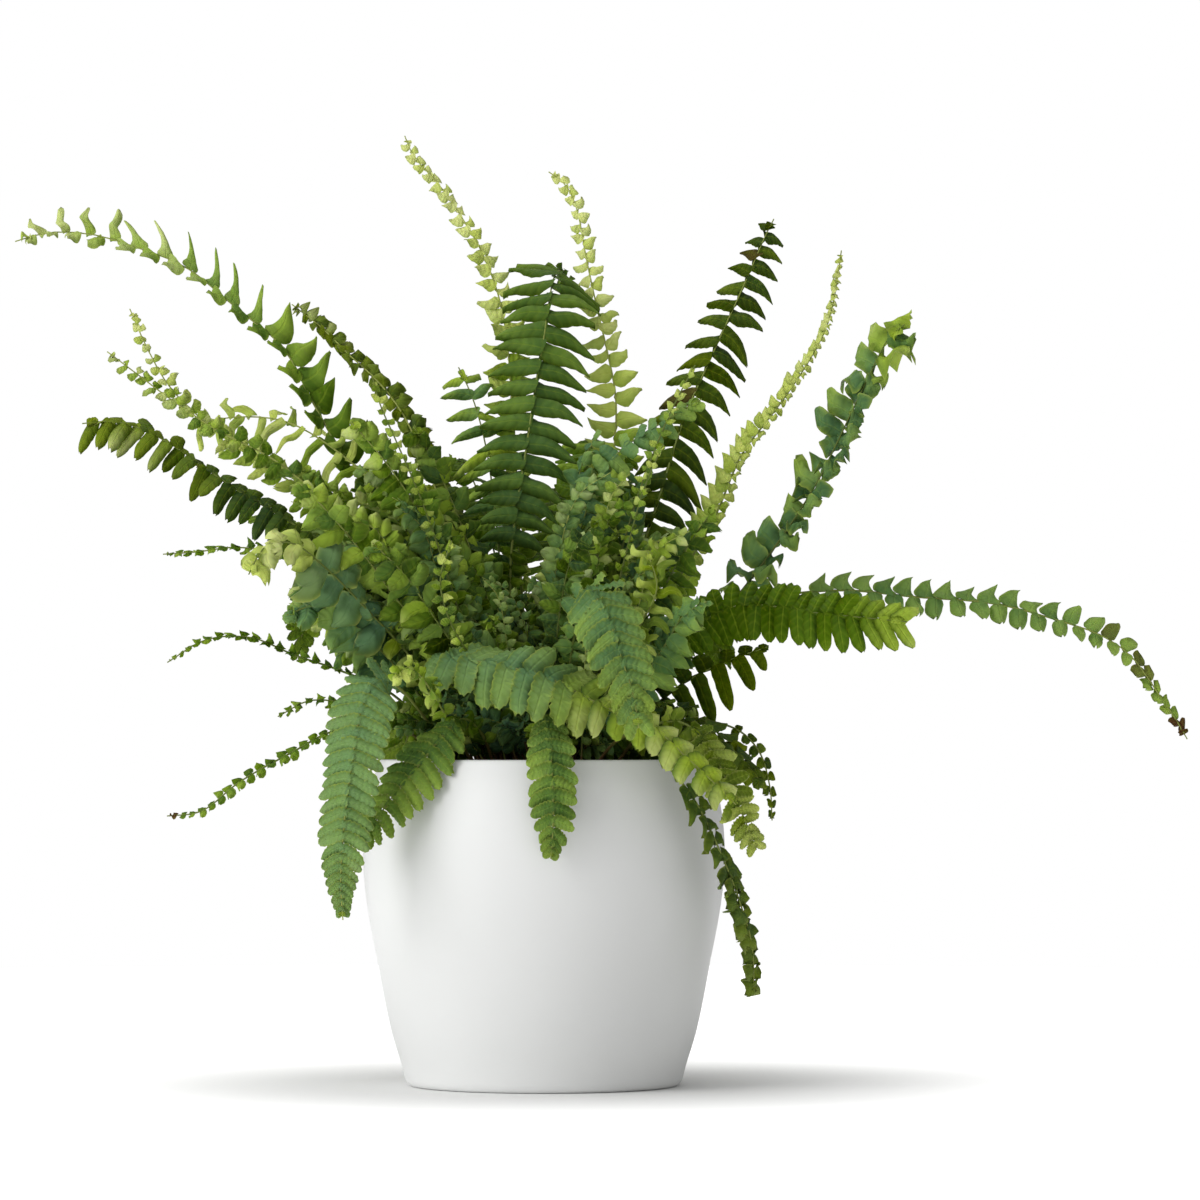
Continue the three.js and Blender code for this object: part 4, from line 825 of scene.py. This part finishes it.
def turned(name, outline, sides):
    """A closed outline of (radius, height) in millimetres, from axis to axis, turned about z."""
    rings = [(r * MM, z * MM) for r, z in outline if r > 0]
    vertices = [(r * x, r * y, z) for r, z in rings for x, y in circle(sides)]
    first, end = len(vertices), len(vertices) - sides
    vertices += [(0, 0, outline[0][1] * MM), (0, 0, outline[-1][1] * MM)]
    faces = []
    for i in range(sides):
        j = (i + 1) % sides
        faces += [(a + i, a + j, a + sides + j, a + sides + i) for a in range(0, end, sides)]
        faces += [(first, j, i), (first + 1, end + i, end + j)]
    return new_mesh(name, vertices, (), faces)


def unit(vector):
    return vector / np.linalg.norm(vector)


def filleted(corners, radius, steps=4):
    """An outline with its inner corners rounded off."""
    points = [corners[0]]
    for triple in zip(corners, corners[1:], corners[2:]):
        a, b, c = (np.array(p, float) for p in triple)
        before, after = a - b, c - b
        reach = min(radius, 0.45 * np.linalg.norm(before), 0.45 * np.linalg.norm(after))
        start, end = b + unit(before) * reach, b + unit(after) * reach
        for t in np.arange(steps + 1) / steps:
            points.append((1 - t) ** 2 * start + 2 * t * (1 - t) * b + t**2 * end)
    return [*points, corners[-1]]


def smooth_route(points, steps=40, tension=0.5):
    """Closely spaced points on a curve through the given ones."""
    points = [np.array(p, float) for p in points]
    padded = [2 * points[0] - points[1], *points, 2 * points[-1] - points[-2]]
    out = []
    for p0, p1, p2, p3 in zip(padded, padded[1:], padded[2:], padded[3:]):
        d0, d1, d2 = (np.linalg.norm(b - a) ** tension for a, b in ((p0, p1), (p1, p2), (p2, p3)))
        m1 = ((p1 - p0) / d0 - (p2 - p0) / (d0 + d1) + (p2 - p1) / d1) * d1
        m2 = ((p2 - p1) / d1 - (p3 - p1) / (d1 + d2) + (p3 - p2) / d2) * d1
        for t in np.arange(steps) / steps:
            out.append(p1 + m1 * t + (-3 * p1 + 3 * p2 - 2 * m1 - m2) * t**2
                       + (2 * p1 - 2 * p2 + m1 + m2) * t**3)
    return np.array([*out, points[-1]])


def cover_pot():
    outside = smooth_route(POT_PROFILE[3:], 2, 0.0)
    rim_radius, rim_height = POT_PROFILE[-1]
    inside = [(r - POT_WALL, z) for r, z in outside[::-1] if z > POT_FLOOR + 3]
    foot = [(0, 0), (30, 0), (54, 0), *POT_PROFILE[:3]]
    rim = [
        (rim_radius - 0.12, rim_height + 0.8), (rim_radius - 0.5, POT_TOP - 0.35),
        (rim_radius - 1.0, POT_TOP), (rim_radius - 1.7, POT_TOP),
        (rim_radius - 2.25, POT_TOP - 0.35), (rim_radius - 2.5, rim_height + 0.8),
    ]
    floor = [(58.6, POT_FLOOR + 1.4), (56.6, POT_FLOOR + 0.2), (54, POT_FLOOR), (28, POT_FLOOR)]
    outline = [*foot, *outside, *rim, *inside, *floor, (0, POT_FLOOR)]
    return turned("cover_pot_shell", outline, POT_SIDES)


def nursery_pot():
    lip = GROW_TOP_RADIUS + GROW_LIP
    slope = (GROW_TOP_RADIUS - GROW_FOOT_RADIUS) / (GROW_TOP - GROW_FOOT)
    neck = GROW_FOOT_RADIUS + slope * (GROW_LIP_FOOT - GROW_FOOT)
    corners = [
        (0, GROW_FOOT), (GROW_FOOT_RADIUS, GROW_FOOT), (neck, GROW_LIP_FOOT),
        (lip, GROW_LIP_FOOT), (lip, GROW_TOP), (GROW_TOP_RADIUS - GROW_WALL, GROW_TOP),
        (GROW_FOOT_RADIUS - GROW_WALL, GROW_FOOT + GROW_WALL), (0, GROW_FOOT + GROW_WALL),
    ]
    return turned("nursery_pot", filleted(corners, 1.0), GROW_SIDES)


def placed(x, z, depth):
    """A point of a route, moved in or out for its distance from the front view."""
    scale = 1 + depth / VIEW_DISTANCE
    return np.array([VIEW_X + (x - VIEW_X) * scale, depth, VIEW_Z + (z - VIEW_Z) * scale])


class Rib:
    """The path of a frond's stalk, with the directions along it, off its face and to its side."""

    def __init__(self, root, route, face):
        self.root = np.array([*root[:2], SOIL_TOP])
        self.points = smooth_route([self.root + (0, 0, STEM_RISE), *route])
        steps = np.linalg.norm(np.diff(self.points, axis=0), axis=1)
        passed = np.concatenate([[0], np.cumsum(steps)])
        self.length = passed[-1]
        self.shares = passed / self.length
        outward = unit(route[-1][:2] - self.root[:2])
        self.across = np.array([-outward[1], outward[0], 0.0])
        self.face = face

    def point(self, share):
        return np.array([np.interp(share, self.shares, column) for column in self.points.T])

    def station(self, share):
        """Place, direction along, direction of the face and direction to the side at a share."""
        step = 0.004
        along = unit(self.point(min(1, share + step)) - self.point(max(0, share - step)))
        face = np.cross(along, self.across) if self.face is None else np.array(self.face, float)
        face = unit(face - along * face.dot(along))
        return self.point(share), along, face, np.cross(face, along)


def leaflet_share(name, t):
    """Leaflet length along the blade, 0 at its foot and 1 at its tip."""
    if name in COURSES:
        return float(np.interp(t, *COURSES[name]))
    fall = 1.0 if t < 0.5 else 1 - 0.65 * ((t - 0.5) / 0.5) ** 2
    return min(1.0, 0.62 + 1.5 * t) * fall


def blade_places(name, length, pitch):
    """Places of the leaflet pairs along a blade, closer together where the leaflets are small."""
    places = np.linspace(0, 1, BLADE_STEPS + 1)
    sizes = np.array([leaflet_share(name, t) for t in places])
    closest = 1.0 if name in EVEN else CLOSEST
    gaps = pitch * np.clip(np.sqrt(sizes / sizes.max()), closest, 1.0)
    passed = np.concatenate([[0], np.cumsum(length / BLADE_STEPS / gaps[:-1])])
    count = max(3, round(passed[-1]))
    return count, passed / passed[-1] * count, places


def rib_radius(share):
    return RIB_RADIUS + (RIB_TIP_RADIUS - RIB_RADIUS) * share**0.55


def clear_of_pot(points):
    """True where no point is in the pot's wall or in the soil."""
    radii, heights = zip(*POT_PROFILE)
    for x, y, z in points:
        radius = math.hypot(x, y)
        if z > POT_TOP + CLEARANCE:
            continue
        if radius > GROW_TOP_RADIUS - RIM_CLEARANCE:
            if radius < np.interp(z, heights, radii) + CLEARANCE:
                return False
        elif z < SOIL_TOP + SOIL_CLEARANCE:
            return False
    return True


def leaflet_stand(station, hand, lift, sweep, roll):
    """Axes of a leaflet as it stands on its rib: outward, towards its left edge, and its face."""
    _, along, face, side = station
    out = side * hand * math.cos(sweep) + along * math.sin(sweep)
    out = out * math.cos(lift) + face * math.sin(lift)
    edge = -hand * along
    edge = unit(edge - out * edge.dot(out))
    top = np.cross(out, edge)
    turn, rise = math.cos(roll), math.sin(roll)
    return out, edge * turn + top * rise, top * turn - edge * rise


class Grower:
    """Stands leaflets on the rib of a frond, clear of the pot, with a seeded irregularity."""

    def __init__(self, rib, wild, rng):
        self.rib, self.rng, self.wild = rib, rng, wild
        self.leaflets = []

    def keep(self, hand, place, axes, cut, size, hang, tint, dry, cool):
        self.leaflets.append({
            "hand": float(hand), "place": place, "axes": axes, "cut": CUT_ORDER.index(cut),
            "size": (*size, size[1]), "hang": hang, "tint": tint, "dry": dry, "cool": cool,
        })

    def stand(self, share, hand, cut, size, angles, droop, tint, dry=0.0, cool=0.0):
        """One leaflet, with its length and breadth, and its lift, sweep and lean in degrees."""
        station = self.rib.station(share)
        lift, sweep, lean = angles
        longer, broader, lower, turn, tilt, rise = self.rng.uniform(-1, 1, 6) * self.wild * SWAYS
        reach, width = size[0] * (1 + longer), size[1] * (1 + broader)
        over = CUTS[cut][-1]
        height = STAND_OVER if over < 0 else STAND_BESIDE
        base = station[0] + (station[3] * hand * over + station[2] * height) * rib_radius(share)
        hang = np.array([0, 0, -reach * droop * (1 + lower)])
        turn, roll = math.radians(sweep + turn), math.radians((lean + tilt) * hand)
        for bend in BENDS:
            raised = math.radians(lift + bend + rise)
            out, edge, top = leaflet_stand(station, hand, raised, turn, roll)
            spine = [base + out * reach * u + hang * u**2 for u in (0.25, 0.5, 0.75, 1.0)]
            sides = [p + edge * width * s for p in spine[:3] for s in (-0.5, 0.5)]
            if clear_of_pot([*spine, *sides]):
                break
        else:
            return
        curled, tinted = (least + more * self.wild for least, more in (CURL_SHARE, TINT_SHARE))
        curl = top * reach * curled * self.rng.uniform(*CURLS)
        tint += self.rng.uniform(*TINT_SPREAD) * tinted
        cool += COOL_SPREAD * self.rng.uniform(0, 1) * min(1, self.wild) * (1 - cool)
        self.keep(hand, base, (out, edge, top), cut, (reach, width), hang + curl, tint, dry, cool)

    def tip_leaflet(self, cut, size, tint, dry):
        place, along, face, side = self.rib.station(TIP_PLACE)
        self.keep(1, place, (along, -side, face), cut, size, np.zeros(3), tint, dry, 0.0)


def lower_leaflets(grower, start, tint):
    """Small leaflets on the stalk below the blade."""
    rng = grower.rng
    count = round((start - LOW_START) * grower.rib.length / LOW_PITCH)
    for i in range(count):
        share = LOW_START + (start - LOW_START) * (i + rng.uniform(0.2, 0.8)) / count
        for hand in (-1, 1):
            angles = [rng.uniform(*span) for span in LOW_ANGLES]
            scale = rng.uniform(*LOW_SCALE)
            size = (LOW_LENGTH * scale, LOW_BREADTH * scale)
            own_tint = tint + rng.uniform(*LOW_TINT)
            grower.stand(share, hand, "small", size, angles, LOW_DROOP, own_tint)


def frond_leaflets(name, rib, rng):
    """Where each leaflet of a frond stands, its cut, size and tint, and how far it hangs."""
    length, start, _, lift, sweep, droop, turns, _, blade, _ = FRONDS[name][1:]
    pitch, breadth, cut, lean, wild, foot_tint, tip_tint = blade
    even = name in EVEN
    grower = Grower(rib, wild, rng)
    if name not in LOW_BARE:
        lower_leaflets(grower, start, foot_tint)
    share = (1 - start) * BLADE_END
    count, passed, places = blade_places(name, share * rib.length, pitch)
    shift = TURN_SHIFT if turns else PAIR_SHIFT
    dry_share = DRY_TIPS.get(name, 0)
    begins, ends, drying = DRY_SPELLS.get(name, (1, 1, 0))
    closing = EVEN_CLOSING if even else CLOSING
    changes = CUT_CHANGES.get(name, [(1.0, (cut, 1.0, 1.0), (cut, 1.0, 1.0))])
    for i in range(count):
        for hand in (-1, 1):
            t = float(np.interp(i + 0.5 + hand * shift, passed, places))
            grown = leaflet_share(name, t)
            sides = next(change[1:] for change in changes if t <= change[0])
            cut_here, longer, broader = sides[hand > 0]
            width = breadth * broader * (1.0 if even else min(1.1, 0.45 + 0.55 * grown))
            tint = foot_tint + (tip_tint - foot_tint) * t**1.5
            if name in TINTS:
                tint = float(np.interp(t, *TINTS[name]))
            cool = float(np.interp(t, *COOL[name])) if name in COOL else 0.0
            dry = float(t > 1 - dry_share)
            if begins < t < ends and rng.uniform() < drying:
                dry = HALF_DRY
            grower.stand(start + share * t, hand, cut_here, (length * longer * grown, width),
                         (lift, sweep + closing * t**4, lean), droop, tint, dry, cool)
    tip_size = (0.5 * length * leaflet_share(name, 1), 0.5 * breadth)
    grower.tip_leaflet(changes[-1][1][0], tip_size, tip_tint, float(dry_share > 0))
    return grower.leaflets


def inner_fronds(key):
    """Ribs and leaflets of the small fronds of one part of the crown."""
    _, count, middle, spread, length, breadth, tint = INNER_GROWTH[key]
    rng = np.random.default_rng([SEED, *key.encode()])
    grown = []
    for _ in range(count):
        direction = rng.normal(size=3)
        direction *= rng.uniform(0.1, 1.0) ** (1 / 3) / np.linalg.norm(direction)
        tip = np.array(middle) + direction * spread
        turn, share = rng.uniform(0, 2 * math.pi), math.sqrt(rng.uniform(0.02, 1))
        root = np.array([math.cos(turn), math.sin(turn)]) * INNER_ROOTS * share
        below = np.clip(tip[:2], -INNER_ROOTS, INNER_ROOTS)
        root = INNER_SCATTER * root + (1 - INNER_SCATTER) * below
        foot = np.array([*root, SOIL_TOP + STEM_RISE])
        low = foot + (tip - foot) * INNER_LOW + INNER_RISE
        high = foot + (tip - foot) * INNER_HIGH
        rib = Rib(root, [low, high, tip], rng.normal(size=3) * INNER_FACE_SPREAD + INNER_FACE)
        grower = Grower(rib, 1.0, rng)
        own_tint = tint + rng.uniform(-INNER_TINT_SPREAD, INNER_TINT_SPREAD)
        cool = float(rng.uniform() < COOL_FRONDS)
        pairs = max(3, round((1 - INNER_START) * rib.length / INNER_PITCH))
        for i in range(pairs):
            for hand in (-1, 1):
                t = (i + 0.5 + INNER_SHIFT * hand) / pairs
                scale = min(1, 0.75 + t) * (1 - 0.45 * t**3)
                share = INNER_START + (INNER_END - INNER_START) * t
                sweep, paler = (first + t * more for first, more in (INNER_SWEEP, INNER_PALER))
                grower.stand(share, hand, "small", (length * scale, breadth * scale),
                             (0, sweep, 0), INNER_DROOP, own_tint + paler, 0.0, cool)
        grown.append((rib, grower.leaflets, own_tint))
    return grown


def leaflet_mesh(name, cut_name, hand, rng):
    """A thin closed leaflet of unit length and breadth, with its tip towards +x."""
    (stations, teeth, depth, bend, roll, groove, swell, ripple, ruffle, twist, pale, tuck,
     _) = CUTS[cut_name]
    bend *= 1 + rng.uniform(-0.35, 0.35)
    roll *= 1 + rng.uniform(-0.6, 0.5)
    twist *= rng.uniform(-1, 1)
    wave = rng.uniform(0, 2 * math.pi)
    phase = rng.uniform(-0.08, 0.08)
    vertices, values = [], []

    def add(u, v, drop):
        edge = np.interp(u, EDGE_PLACES, EDGES[cut_name][v * hand >= 0])
        tooth = depth * math.cos(2 * math.pi * (teeth * u + phase)) * min(1, 6 * (1 - u) + 0.2)
        half = 0.5 * (edge + tooth + rng.uniform(-0.015, 0.015))
        vein = teeth * u - 0.6 * abs(v)
        y = v * half - hand * bend * u**2 * 0.5 + 1.5 * ripple * u * math.sin(6 * u + wave)
        ridge = swell * math.cos(2 * math.pi * vein) * min(1, 2 * abs(v))
        curl = roll * min(1, 0.15 + 3.4 * max(0, u))
        z = groove * abs(v) - curl * v * v + ridge + ruffle * v * v * math.sin(7 * u + wave * v)
        z += twist * (u - 0.3) * v * half + ripple * math.sin(7 * u + wave)
        vertices.append((u - 0.015, y, z - drop))
        # the last value is painted shade, strongest at the edge towards the frond's foot
        values.append((max(0.0, u), v, vein, pale if abs(v) == 1 or u == 1 else 0.0,
                       1.0 if drop else 0.0, tuck * max(0.0, v * hand) ** 2))
        return len(vertices) - 1

    shares = [0.0, *(0.05 + 0.95 * i / (stations - 2) for i in range(stations - 1))]
    top = [[add(u, v, 0) for v in ACROSS] for u in shares]
    low = [add(u, 0.0, LEAF_THICKNESS) for u in shares[1:-1]]
    faces, rims, end = [], set(), len(shares) - 1
    for near, far in zip(top, top[1:]):
        faces += [(near[c], far[c], far[c + 1], near[c + 1]) for c in range(4)]
        rims |= {frozenset((near[c], far[c])) for c in (0, 4)}
    for near, far, a, b in zip(top[1:], top[2:], low, low[1:]):
        faces += [(near[0], a, b, far[0]), (a, near[4], far[4], b)]
    foot, second, last, tip = top[0], top[1], top[-2], top[end]
    faces += [(foot[0], foot[1], foot[2], low[0], second[0]),
              (foot[2], foot[3], foot[4], second[4], low[0]),
              (tip[0], last[0], low[-1], tip[2], tip[1]),
              (tip[2], low[-1], last[4], tip[4], tip[3])]
    rims |= {frozenset(row[c:c + 2]) for row in (foot, tip) for c in range(4)}
    mesh = new_mesh(name, vertices, (), faces)
    for key, column in zip(("out", "across", "vein", "edge", "under", "tuck"), zip(*values)):
        layer(mesh, key, column)
    sharp = mesh.attributes.new("sharp_edge", "BOOLEAN", "EDGE")
    sharp.data.foreach_set("value", [frozenset(e.vertices) in rims for e in mesh.edges])
    return mesh


def leaflet_sets():
    """A collection of leaflets for the left side of a rib and one for the right, cut after cut."""
    rng = np.random.default_rng(SEED)
    sets = {}
    for hand in (-1, 1):
        sets[hand] = bpy.data.collections.new(f"leaflets_{hand}")
        for number, cut_name in enumerate(CUT_ORDER):
            for k in range(VARIANTS):
                mesh = leaflet_mesh(f"leaflet_{hand}_{number:02d}_{k}", cut_name, hand, rng)
                sets[hand].objects.link(bpy.data.objects.new(mesh.name, mesh))
    return sets


def node_group(name, inputs):
    """A Geometry Nodes tree, what its named inputs give, and a short way to add nodes to it."""
    tree = bpy.data.node_groups.new(name, "GeometryNodeTree")
    for label, kind in {"Geometry": "Geometry", **inputs}.items():
        tree.interface.new_socket(label, in_out="INPUT", socket_type=f"NodeSocket{kind}")
    tree.interface.new_socket("Geometry", in_out="OUTPUT", socket_type="NodeSocketGeometry")
    given = {socket.name: Field(socket) for socket in tree.nodes.new("NodeGroupInput").outputs}

    def node(kind, inputs=(), output=0, **settings):
        return add_node(tree, f"GeometryNode{kind}", inputs, output, **settings)

    return tree, given, node


def drawn(given, nudge, kind, low, high, output=0):
    """A random value for each point, from low to high. Both are given as (socket, value)."""
    inputs = dict([low, high], Seed=given["Seed"] + nudge)
    tree = given["Seed"].socket.id_data
    return add_node(tree, "FunctionNodeRandomValue", inputs, output, data_type=kind)


def scaled(vector, share):
    inputs = {0: vector, "Scale": share}
    return add_node(share.socket.id_data, "ShaderNodeVectorMath", inputs, operation="SCALE")


def frond_tree():
    """Geometry Nodes: sweeps the rib, stands a leaflet on each root and lets it hang."""
    tree, given, node = node_group("frond", {
        "Left leaflets": "Collection", "Right leaflets": "Collection", "Rib sides": "Int",
        "Seed": "Int", "Leaf finish": "Material", "Rib finish": "Material"})

    def named(name, kind="FLOAT"):
        return node("InputNamedAttribute", {"Name": name}, "Attribute", data_type=kind)

    def compared(value, operation, limit):
        inputs = {"A": value, "B": limit}
        return add_node(tree, "FunctionNodeCompare", inputs, "Result", data_type="FLOAT",
                        operation=operation)

    hand = named("hand")
    size = hand.math("ABSOLUTE")
    ribs = node("SeparateGeometry", {
        "Geometry": given["Geometry"], "Selection": compared(size, "LESS_THAN", 0.5)})
    profile = node("CurvePrimitiveCircle", {"Resolution": given["Rib sides"], "Radius": 1.0})
    joined = node("JoinGeometry", {"Geometry": node("CurveToMesh", {
        "Curve": node("MeshToCurve", {"Mesh": ribs}), "Profile Curve": profile,
        "Scale": named("thick"), "Fill Caps": True})})
    for operation, limit, leaflets, nudge in (("LESS_THAN", -0.5, "Left leaflets", 0),
                                              ("GREATER_THAN", 0.5, "Right leaflets", 1)):
        roots = node("SeparateGeometry", {
            "Geometry": ribs.also("Inverted"), "Selection": compared(hand, operation, limit)})
        leaves = node("CollectionInfo", {
            "Collection": given[leaflets], "Separate Children": True, "Reset Children": True})
        choice = drawn(given, nudge, "INT", (4, 0), (5, VARIANTS - 1), 2)
        stand = node("InstanceOnPoints", {
            "Points": roots, "Instance": leaves, "Pick Instance": True,
            "Instance Index": named("cut") * VARIANTS + choice,
            "Rotation": named("turn", "QUATERNION"), "Scale": named("size", "FLOAT_VECTOR")})
        feed(joined.socket.node, {"Geometry": stand})

    real = node("RealizeInstances", {"Geometry": joined})
    hang = scaled(named("hang", "FLOAT_VECTOR"), named("out") ** 2.0)
    sag = node("SetPosition", {"Geometry": real, "Offset": hang})
    stalk = node("SetMaterial", {"Geometry": sag, "Material": given["Rib finish"]})
    leafy = node("SetMaterial", {
        "Geometry": stalk, "Selection": compared(size, "GREATER_THAN", 0.5),
        "Material": given["Leaf finish"]})
    feed(tree.nodes.new("NodeGroupOutput"), {"Geometry": leafy})
    return tree


def crumb_tree():
    """Geometry Nodes: a rough crumb on each point, turned and stretched at random."""
    tree, given, node = node_group("crumbs", {"Seed": "Int", "Soil finish": "Material"})
    radius = node("InputNamedAttribute", {"Name": "radius_here"}, "Attribute", data_type="FLOAT")
    stretch, turn = (
        drawn(given, nudge, "FLOAT_VECTOR", (0, (low,) * 3), (1, (high,) * 3))
        for nudge, (low, high) in enumerate((CRUMB_STRETCH, (0, 2 * math.pi))))
    stand = node("InstanceOnPoints", {
        "Points": given["Geometry"], "Rotation": turn, "Scale": scaled(stretch, radius),
        "Instance": node("MeshIcoSphere", {"Radius": 1.0, "Subdivisions": 1})})
    real = node("RealizeInstances", {"Geometry": stand})
    brown = node("SetMaterial", {"Geometry": real, "Material": given["Soil finish"]})
    feed(tree.nodes.new("NodeGroupOutput"), {"Geometry": brown})
    return tree


def settled(source, tree, values, name):
    """The plain mesh that a node tree makes from an object, which is then removed."""
    modifier = source.modifiers.new(tree.name, "NODES")
    modifier.node_group = tree
    for item in tree.interface.items_tree:
        if item.in_out == "INPUT" and item.name in values:
            modifier[item.identifier] = values[item.name]
    bpy.context.view_layer.update()
    evaluated = source.evaluated_get(bpy.context.evaluated_depsgraph_get())
    mesh = bpy.data.meshes.new_from_object(evaluated)
    mesh.name = name
    source.modifiers.remove(modifier)
    bpy.data.objects.remove(source)
    return mesh


def soil_crumbs(soil):
    """Crumbs that lie half sunk all over the soil."""
    rng = np.random.default_rng([SEED, CRUMBS])
    turns = rng.uniform(0, 2 * math.pi, CRUMBS)
    reach = CRUMB_REACH * np.sqrt(rng.uniform(0, 1, CRUMBS))
    radii = CRUMB_LEAST + (CRUMB_LARGEST - CRUMB_LEAST) * rng.uniform(0, 1, CRUMBS) ** 2
    heights = SOIL_TOP + radii * rng.uniform(*CRUMB_HEIGHTS, CRUMBS)
    places = np.stack([reach * np.cos(turns), reach * np.sin(turns), heights], axis=1)
    mesh = new_mesh("crumb_places", [tuple(p * MM) for p in places])
    layer(mesh, "radius_here", radii * MM)
    values = {"Seed": SEED, "Soil finish": soil}
    return settled(new_object("crumb_places", mesh), crumb_tree(), values, "soil_crumbs")


def roots_mesh(grown, scale=1.0):
    """A mesh of the ribs' lines and the leaflets' roots, with all that the node tree reads."""
    points, edges, thick, feet, tints = [], [], [], [], []
    for rib, _, foot_tint in grown:
        shares = [0.0, 0.0, *np.linspace(0, 1, RIB_STATIONS)]
        first = len(points)
        points += [rib.root - (0, 0, STEM_DEPTH), rib.root, *map(rib.point, shares[2:])]
        edges += [(first + i, first + i + 1) for i in range(RIB_STATIONS + 1)]
        thick += [rib_radius(s) * scale * MM for s in shares]
        feet += [max(0.0, 1 - s / SCURFY_SHARE) for s in shares]
        tints += [foot_tint + 0.3 * s for s in shares]
    leaflets = [leaflet for _, leaflets, _ in grown for leaflet in leaflets]
    points += [leaflet["place"] for leaflet in leaflets]
    mesh = new_mesh("roots", [tuple(p * MM) for p in points], edges)
    for key in ("hand", "cut", "cool", "dry"):
        layer(mesh, key, [leaflet[key] for leaflet in leaflets])
    for key in ("size", "hang"):
        sizes = [np.array(leaflet[key]) * MM for leaflet in leaflets]
        layer(mesh, key, sizes, "FLOAT_VECTOR")
    turns = [tuple(Matrix(leaflet["axes"]).transposed().to_quaternion()) for leaflet in leaflets]
    layer(mesh, "turn", turns, "QUATERNION")
    layer(mesh, "tint", tints + [leaflet["tint"] for leaflet in leaflets])
    layer(mesh, "thick", thick + [0.0] * len(leaflets))
    layer(mesh, "foot", feet + [0.0] * len(leaflets))
    return mesh


def studio_world():
    """Soft light that is brighter from the window side, before a plain white backdrop."""
    world = bpy.data.worlds.new("studio")
    world.use_nodes = True
    tree = world.node_tree
    direction = add_node(tree, "ShaderNodeTexCoord", output="Generated")
    toward = add_node(tree, "ShaderNodeVectorMath", {0: direction, 1: WINDOW_SIDE}, "Value",
                      operation="DOT_PRODUCT")
    light = for_camera(tree, 1.0, toward + ROOM_LIGHT)
    feed(tree.nodes["Background"], {"Strength": light, "Color": WHITE})
    return world


def aimed(name, data, place, target):
    """A camera or a lamp at a place, turned towards a target."""
    made = new_object(name, data)
    made.location = place
    made.rotation_euler = (Vector(target) - Vector(place)).to_track_quat("-Z", "Y").to_euler()
    return made


def studio():
    scene = bpy.context.scene
    camera = bpy.data.cameras.new("camera")
    camera.lens = CAMERA_LENS
    camera.sensor_width = 36
    scene.camera = aimed("camera", camera, CAMERA_PLACE, CAMERA_AIM)
    rim = [(FLOOR_RADIUS * x, FLOOR_RADIUS * y, 0) for x, y in circle(FLOOR_SIDES)]
    mesh = new_mesh("floor", rim, (), [tuple(range(FLOOR_SIDES))])
    mesh.materials.append(floor_finish())
    floor = new_object("floor", mesh)
    scene.world = studio_world()
    for name, place, size, power in LAMPS:
        light = bpy.data.lights.new(name, "AREA")
        light.shape = "SQUARE"
        light.size = size
        light.energy = power
        aimed(name, light, place, LAMP_AIM)
    scene.view_settings.view_transform = "Standard"


def settle_piece(name, mesh, node, material=None):
    piece = new_object(name, mesh)
    if material:
        mesh.materials.append(material)
    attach(piece, "root")
    if node:
        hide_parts(node)


def main():
    studio()
    settle_piece("cover_pot_shell", cover_pot(), "cover_pot", cover_pot_finish())
    settle_piece("nursery_pot", nursery_pot(), "grow_pot", grow_pot_finish())
    soil = soil_finish()
    frame["nodes"]["soil"].data.materials.clear()
    frame["nodes"]["soil"].data.materials.append(soil)
    settle_piece("soil_crumbs", soil_crumbs(soil), None)

    finishes = {tone: leaf_finish(tone) for tone in TONES}
    sets = leaflet_sets()
    tree = frond_tree()
    values = {"Left leaflets": sets[-1], "Right leaflets": sets[1], "Rib sides": RIB_SIDES,
              "Rib finish": rib_finish()}

    def settle_fronds(name, roots, node, tone, seed):
        own = {**values, "Seed": seed, "Leaf finish": finishes[tone]}
        mesh = settled(new_object("roots", roots), tree, own, name)
        settle_piece(name, mesh, node)

    for number, (name, row) in enumerate(FRONDS.items()):
        tone, face, root, blade, route = row[0], row[3], *row[8:]
        rib = Rib(root, [placed(*p) for p in route], face)
        leaflets = frond_leaflets(name, rib, np.random.default_rng(SEED + number))
        roots = roots_mesh([(rib, leaflets, blade[5])])
        settle_fronds(f"leafy_{name}", roots, f"frond_{name}", tone, number)
    for number, key in enumerate(INNER_GROWTH):
        roots = roots_mesh(inner_fronds(key), INNER_RIB)
        settle_fronds(key, roots, None, INNER_GROWTH[key][0], INNER_SEED + number)
    for leaflets in sets.values():
        for leaflet in list(leaflets.objects):
            bpy.data.objects.remove(leaflet)
        bpy.data.collections.remove(leaflets)


main()
